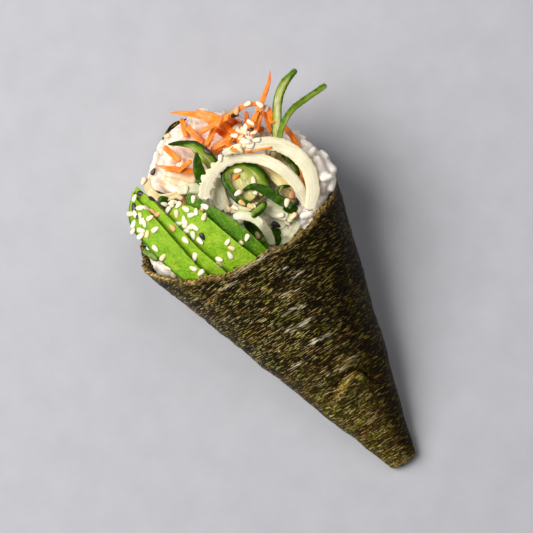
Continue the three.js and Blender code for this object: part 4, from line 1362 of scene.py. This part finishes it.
# The two large arcs on top.
ARC = {"square": 6, "step": 0.28, "lumpy": 0.02, "sway": 3, "thin_edge": 0.5, "warm": 0.05}
CUCUMBER = (
    cut(1.6, (1.6, 2.6, 2), ((-38.6, 122.6), (-37, 119.8), (-35.6, 116)), peel=("top", (0.2,), 1.0),
        least=0.5),
    cut(1.4, (2.6, 4, 3), ((-24, 139), (-21.5, 134.5), (-18.5, 130)), peel=("top", (0.6,), 0.6)),
    cut(1.6, (5, 7.4, 6), ((6.4, 131), (8, 123.5), (8.4, 113.5)), warm=0.9, flesh=3.2),
    cut(1.6, (3.4, 4.2, 3.4), ((14.2, 128), (17.6, 119.5), (20, 110.5)), warm=1.0, flesh=3.8),
    cut(1.6, (3.6, 5.6, 4.4), ((-3, 129.2), (-3.9, 124), (-4.4, 118.5)), warm=0.1),
    cut(1.4, (2.2, 3.2, 2.4), ((20.2, 129.4), (23.4, 124.8), (24.8, 118.6)), warm=0.8, flesh=3.0),
    cut(1.4, (1.4, 2.2, 1.6), ((23.6, 127.6), (25.6, 121.5), (25.8, 114.5)), peel=("right", (0.3,), 1.2)),
    cut(0.9, (3, 3.2, 3, 2.6, 2.2), ((-23, 144.4), (-24.2, 139.8), (-22.6, 135.6), (-17, 133.2),
        (-12.6, 132.8)), warm=1.0, square=5, lumpy=0.04, sway=20),
    cut(0.9, (2.8, 4.2, 3.6), ((-15.8, 133.9), (-11, 132.1), (-6, 128.4)), warm=-0.4, square=5,
        lumpy=0.04),
    cut(1.7, (2.8, 3.4, 3.2, 2.8), ((4.6, 107), (8, 105.4), (10.4, 101.6), (9.6, 97.6)), warm=-0.5,
        flesh=4.2),
    cut(1.7, (2.8, 3.8, 3.8, 3.4), ((6, 112.4), (10, 110.6), (13, 106.4), (14.8, 101.4)), warm=-0.6,
        flesh=4.0, lumpy=0.05),
    cut(1.3, (1.4, 2.2, 1.6), ((-2.8, 118), (0.2, 115.2), (7.4, 113.4)), warm=0.5),
    cut(1.7, (0.8, 2, 3.4, 5, 5.2, 4), ((-9.2, 150.6), (-4.7, 148.2), (-1.4, 145.2), (0, 141), (0.8, 137),
        (0.4, 133)), peel=("left", (0.9, 0.8, 0.34, 0.2, 0.16, 0.14), 1.5), lumpy=0.05),
    cut(1.2, (1, 3.5, 4.5, 3.6), ((-1.8, 142.2), (-3.6, 138.6), (-5, 134.8), (-6.2, 130.6)), peel=PEEL),
    cut(2, (3.2, 3.3, 3.5, 3.5, 3.3, 2.1), ((19.5, 124), (26.1, 130.6), (29.6, 135.6), (33.9, 141.7),
        (38.8, 145.5), (46, 147.9)), peel=("both", (0.04, 0.04, 0.04, 0.05, 0.1, 0.5), 3.2), least=0.25,
        fade=0.35),
    cut(1.8, (2.2, 2.3, 2.3, 2.3, 2.1), ((24, 127), (30.4, 133), (36.6, 136), (44.5, 136.8),
        (52.4, 137.1)), peel=("left", (0.1, 0.1, 0.12, 0.12, 0.3), 1.5), least=0.2),
    cut(1.7, (2.2, 3, 3.1, 3.1, 3.4, 4.8, 6.6, 8.4, 8.2, 5.4), ((4.8, 114.2), (2, 118.3), (1.4, 122.4),
        (1.4, 126.6), (3.2, 130), (6.4, 130.4), (9.2, 127.4), (10.9, 123.8), (11.4, 119.4), (12, 115.2)),
        warm=0.5, peel=("left", (0.8, 0.75, 0.7, 0.6, 0.42, 0.26, 0.16, 0.14, 0.14, 0.16), 2.1), fade=1.4,
        thin_edge=0.3),
    cut(1.5, (1, 2.8, 3.6, 3.6, 2.6), ((4.8, 120.8), (8.9, 119.9), (12.2, 115.8), (14.4, 110.8),
        (17.2, 105.6)), peel=PEEL),
    cut(1, (0.9, 1.3, 1.3, 0.9), ((14.6, 112.6), (16.2, 114.4), (18.4, 113.8), (20.8, 112.4)), peel=PEEL),
    cut(1.5, (2, 2.8, 1.6), ((2.7, 111), (6.1, 112.2), (9.8, 112)), peel=("left", (0.4,), 0.9)),
    cut(1.7, (2.4, 3.3, 3.4, 3.3, 3.2, 3), ((-3.6, 114.3), (0.3, 112.5), (3, 109.4), (4.3, 104.6),
        (4, 100.4), (3, 97.4)), warm=-0.3, lumpy=0.03, sway=4),
    cut(1.2, (5.4, 5, 4.4, 4.2, 4.2, 4.4, 4.4, 4.2, 3.8), ((-8.8, 125.6), (-6, 129), (-2, 131.6),
        (4, 133.2), (10, 132), (16.4, 127.3), (20.8, 120.6), (22.9, 112), (22.2, 102.6)),
        torn=(1.2, 1.1, 0.6, 0.24, 0.14, 0.12, 0.12, 0.16, 0.2), frill=2.2, **ARC),
    cut(1.2, (2.2, 4, 4.8, 5.2, 5.4, 5.4, 5, 4.2), ((6, 136.2), (12.6, 134.4), (19.6, 131.8), (25, 127.8),
        (28.6, 121.6), (29.6, 115), (26.9, 107), (21.6, 101)),
        torn=(0.6, 0.3, 0.16, 0.14, 0.14, 0.14, 0.16, 0.2), frill=1.4, **ARC),
)
CARROT_THICK = 1.15
LOOSE_CARROT_THICK = 1.1
POINTED = (15, 17)
CARROT_POINT = 2.5
CARROT_END = 0.35
# Widths and path of each shred.
CARROT = (
    ((1.7, 1.9, 1.8), ((0.5, 157.2), (-0.8, 153.5), (-2.1, 149.8))),
    ((2.2, 2.4, 2.2), ((0.5, 153), (1.2, 149), (1.9, 144.2))),
    ((2.2, 2.4, 2.2), ((-10.8, 151.4), (-9.8, 147), (-8.5, 142.6))),
    ((0.7, 2.3, 2), ((-17, 146.1), (-12.3, 141.5), (-5.8, 136.3))),
    ((1.6, 1.9, 1.7), ((-11.6, 139.6), (-8, 140.4), (-5, 140.6))),
    ((2.6, 3.8, 3), ((8.3, 151), (12, 145.4), (14, 139))),
    ((1.9, 2.1, 1.9), ((12, 142.4), (18.7, 138.6), (24.6, 136.3))),
    ((2, 2.2, 2), ((2, 139.7), (7.3, 139.3), (14, 140))),
    ((1.7, 2, 1.8), ((9.4, 147.3), (5.5, 144.3), (2.4, 141.9))),
    ((1.5, 1.9, 1.7), ((22.4, 145.8), (19.4, 140.4), (15.4, 135.6))),
    ((1.8, 2, 1.7), ((13.2, 136.6), (21.2, 139.7), (27.4, 142.3))),
    ((1.8, 2.1, 1.9), ((26.2, 141.4), (21.5, 137.2), (15.8, 134.4))),
    ((1.2, 1.5, 1.4), ((28.4, 143), (27.4, 138.4), (25.7, 132.6))),
    ((1.3, 1.5, 1.3), ((27.4, 145), (29.2, 141.5), (29.2, 137.2))),
    ((0.6, 2.6, 3.4), ((-2.3, 161.4), (4.2, 156), (12.2, 149))),
    ((1.9, 2.1, 2.1, 2, 1.6), ((3.2, 148.1), (8, 147.4), (15, 147), (23, 146.9), (27.8, 144.4))),
    ((0.5, 1.3, 1.8, 2.1, 2.2, 2.2), ((37.8, 153.2), (35.4, 149.9), (32.3, 147.2), (27.2, 143.6),
        (24.5, 141.4), (20.4, 138.4))),
    ((2.1, 2.2, 2.1, 2, 1.9), ((30.9, 133.4), (31.4, 128), (30.4, 122), (28, 116.4), (25.3, 108.6))),
)
# Loose strands, by where they run in the 533 pixel picture frame. They lie on the food under it.
LOOSE_CUCUMBER = (
    cut(1, (3, 4, 2), ((274, 226), (276, 236), (277.4, 246)), peel=("top", (0.9,), 0.4)),
    cut(1, (2.5, 4.4, 3.4), ((244, 220), (257, 233), (267, 249.5)), peel=("top", (0.6,), 0.9),
        least=0.15),
    cut(0.8, (1.8, 3.8, 4.6, 3.4), ((261, 222), (269, 219.6), (278, 222), (286, 226)), warm=-0.4,
        flesh=4.7, lumpy=0.02, sway=3),
    cut(0.7, (6.6, 5.6, 4.2, 2), ((294.4, 219), (291, 227), (286.6, 236), (281.4, 247.5)), warm=-0.4,
        flesh=4.6, square=6, lumpy=0.02, sway=3),
    cut(0.9, (2.2, 4, 3.4), ((261.6, 208.9), (274.6, 212.7), (288, 217)), warm=-0.4, flesh=4.6,
        lumpy=0.03),
    cut(0.8, (2, 3, 2), ((224, 210), (240, 209.5), (256, 206)), warm=-0.2, flesh=3.8, lumpy=0.04),
    cut(0.8, (2.6, 4.4, 5), ((220, 178), (219.5, 190), (224, 208)), warm=-0.1, lumpy=0.04, stiff=True),
    cut(0.8, (1.8, 2.6, 1.8), ((287, 156), (294, 166), (298.6, 176)), warm=0, peel=("left", (0.4,), 1.6)),
    cut(0.7, (4, 6.6, 8, 6), ((235.6, 171), (239, 181), (243, 191), (249, 202)), warm=0.7, flesh=3.0,
        lumpy=0.02, stiff=True),
    cut(0.9, (2, 4.5, 3), ((158, 198), (166, 203), (172, 211)), peel=PEEL),
    # This strip is tinted creamy beige-brown to stand for the shade on that side of the ribbon: painted
    # shade.
    cut(0.8, (1.8, 3.2, 2.8), ((267, 154), (279, 157.6), (287, 164)), warm=1.0, flesh=3.8, lumpy=0.04),
    cut(0.8, (2.4, 3.6, 3), ((281, 187), (288, 194), (295, 204)), warm=1.0, flesh=3.4, lumpy=0.04),
    cut(1, (2, 3, 2.2), ((283, 206), (290.5, 210), (297.6, 206.5)), peel=PEEL),
    cut(1, (1.4, 2.8, 3, 2.2), ((266.4, 201.4), (262.6, 207), (257, 212), (251.4, 217)), warm=0,
        peel=("left", (0.34,), 1.3)),
)
LOOSE_CARROT = (
    ((3, 4.2, 3.4), ((195, 112.5), (215, 121), (237, 131))),
    ((1.8, 2, 1.8), ((206, 146), (210.5, 137), (216, 126))),
    ((2, 2.2, 2), ((211, 150), (222, 144), (238, 136))),
    ((1.6, 2.2, 1.8), ((215, 129), (224, 135), (234, 142))),
    ((2.2, 2.6, 2.3), ((226, 117), (236, 124), (244, 137))),
    ((1.8, 2.4, 2), ((237, 117), (240, 128), (235, 143))),
    ((1.4, 1.6, 1.5), ((263, 112), (267, 122), (272, 135))),
    ((1.8, 2.4, 1.8), ((245, 121), (252, 131), (250, 143))),
    ((1.8, 2.2, 1.6), ((223, 121), (232, 132), (247, 141))),
    ((1.6, 2.2, 1.8), ((258, 111), (252, 122), (239, 131))),
    ((1.8, 2.6, 2.2), ((265, 106), (270, 113), (273, 124))),
    ((0.8, 1, 0.8), ((244, 152.5), (257, 150), (272, 147.5))),
    ((0.7, 0.9, 0.6), ((232.5, 180), (236, 177.5), (239.5, 174.5))),
    ((1.4, 1.8, 1.4), ((226, 143), (233, 149), (243, 150))),
)
GINGER = (
    cut(1.1, (5, 7.6, 5.4), ((-18.6, 141.6), (-15.4, 137.6), (-11.6, 132.6)), lumpy=0.04, thin_edge=0.7),
    cut(1.1, (4.4, 6.8, 5), ((-16.6, 142.4), (-12, 138), (-8.4, 133)), lumpy=0.04, thin_edge=0.7),
)


def shreds(rows, thick, warm, pointed=()):
    """Cuts of carrot shreds from their widths and paths. Those that are listed end in a point."""
    tapers = [CARROT_POINT if i in pointed else CARROT_END for i in range(1, len(rows) + 1)]
    return [cut(thick, *row, warm=warm, square=4.5, taper=taper) for row, taper in zip(rows, tapers)]


def make_strips():
    """All strips in their order: those that stand for solids first, then the loose ones on top of them."""
    green = cucumber_paint(), "cucumber_flesh"
    orange = carrot_paint(), "carrot"
    peach = ginger_paint(), "pickled_ginger"
    for label, node, cuts, (paint, slot), seed in (
        ("cucumber", "cucumber_strip", CUCUMBER, green, 0),
        ("carrot", "carrot_shred", shreds(CARROT, CARROT_THICK, 0.05, POINTED), orange, 30),
        ("ginger", "ginger_slice", GINGER, peach, 60),
    ):
        for i, one in enumerate(cuts, 1):
            make_strip(f"{label}_{i:02d}", f"{node}_{i:02d}", one, paint, slot, seed + i)
    surface = Surface("nori_sheet")
    for label, cuts, (paint, slot), seed in (
        ("cucumber_loose", LOOSE_CUCUMBER, green, 80),
        ("carrot_loose", shreds(LOOSE_CARROT, LOOSE_CARROT_THICK, 0.0), orange, 100),
    ):
        for i, one in enumerate(cuts, 1):
            make_strip(f"{label}_{i:02d}", None, one, paint, slot, seed + i, surface)


# ---------------------------------------------------------------- sesame
# Where each seed lies in the 533 pixel picture frame. It is dropped on the food under that place.
ON_AVOCADO = (
    (136, 183), (127, 194.5), (130, 195.5), (127, 201), (123, 203), (126, 206), (135, 198), (141, 190),
    (140, 208), (131.5, 214), (135.5, 214), (140.4, 216.7), (146.4, 209), (152.7, 212), (150.4, 218),
    (158, 214.4), (142.4, 221), (144.7, 224), (134, 224), (133.5, 231), (141.8, 230.5), (147.5, 234),
    (141, 236), (136.6, 237.4), (155.6, 229.4), (172.8, 227.6), (185.7, 231.7), (186, 240.3),
    (193.5, 235.7), (200.4, 241), (178.6, 224), (184.3, 220), (185.7, 224), (191, 227), (195.8, 228),
    (164, 204), (171, 203), (174, 202), (171.7, 207), (168, 211), (165, 210), (169, 214), (176.8, 214),
    (181, 198), (179, 196.6), (178.6, 205), (183.7, 203.5), (186, 190), (186, 209), (191.8, 215),
    (193.5, 199.5), (196.4, 211.6), (202, 210), (205, 206.4), (204.4, 216.7), (155.6, 248.5),
    (163.3, 257), (195, 257), (193.5, 268.4), (201, 272.6), (219.5, 259.3), (219.5, 264), (230.4, 255),
    (231.8, 248), (228, 241.8), (240.5, 244), (247.2, 237.5),
)
ON_CUCUMBER = (
    (238.4, 170.7), (253.5, 180.5), (237.7, 193.5), (242.3, 203), (256, 192.5), (228.6, 208.6),
    (235.6, 208), (286.8, 203), (291.8, 194.6), (279.8, 215.6), (286.8, 222), (296.7, 212.8),
    (269.3, 151.8), (239, 220.5), (275.3, 190.4), (251, 206.4), (299.3, 208.4), (293.4, 216.4),
    (257.5, 235),
)
ON_CARROT = (
    (237, 110.5), (247.5, 104), (250, 107.8), (259.6, 104.4), (266.5, 108.6), (251.2, 122.4), (235, 128),
    (234.3, 135.7), (241, 132), (245, 135), (249, 138), (254, 133.5), (256.5, 140.3), (242.7, 141),
    (244.3, 145.7), (240.4, 149.5), (250.4, 142.6), (224, 115), (237.8, 130.6), (243.5, 130.4),
    (248, 133), (252.5, 137), (246.2, 141.6), (252, 145.4), (237.6, 146.5), (241.5, 137.4), (257, 134.4),
    (248.6, 145.8), (238.4, 126.6), (246, 127.8), (220.4, 158.4),
)
ON_RICE = (
    (167, 136), (148.7, 163), (175.5, 161.7), (182.5, 163), (152.5, 178.5), (143.6, 181.4), (160.8, 152),
    (168, 268), (174, 274),
)
BLACK = (
    (134.3, 207.4, 105, 1.05), (140, 216.6, 10, 0.9), (141, 193.7, -20, 0.95), (151.8, 199.6, -30, 0.9),
    (202.7, 236.4, -60, 0.95), (207.6, 151.8, -44, 1.05), (221.6, 156, 10, 0.8), (234.7, 115, 5, 1.0),
    (251.2, 128, 80, 1.0), (276, 224.8, -22, 1.1), (153.4, 171.6, 60, 0.9), (296.7, 200.8, 80, 1.0),
)
SEED = (1.66, 0.96, 0.46)  # half sizes
SEED_PROUD = 0.7  # how high a seed's middle lies, as a share of its half height


def make_sesame():
    white = ON_AVOCADO + ON_CUCUMBER + ON_CARROT + ON_RICE
    kinds = (
        ("sesame_white", white, sesame_paint(), 11, lambda draw: draw.random() ** 5),
        ("sesame_black", BLACK, black_sesame_paint(), 12, lambda draw: 0.4 * draw.random() ** 3),
    )
    for name, places, paint, seed, toast in kinds:
        one = egg("seed", SEED, 12, 9, paint, point=0.34)
        made = scatter(name, one, places, paint, Surface(), seed, SEED[2] * SEED_PROUD, toast)
        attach(made, "root")


# ---------------------------------------------------------------- all of it
make_camera()
make_table()
make_world(strength=0.05, colour=(0.97, 0.98, 1.0))
make_light("window", toward=168, elevation=50, distance=1.6, size=1.15, watts=41, colour=(1.0, 0.99, 0.975))
make_light("fill", toward=60, elevation=55, distance=1.7, size=1.1, watts=6.5, colour=(1.0, 0.99, 0.98))
bpy.context.scene.view_settings.view_transform = "Standard"
make_nori()
make_rice()
avocado = avocado_paint()
for slice_index in range(len(SLICE_TIPS)):
    make_slice(slice_index, avocado)
make_strips()
make_sesame()
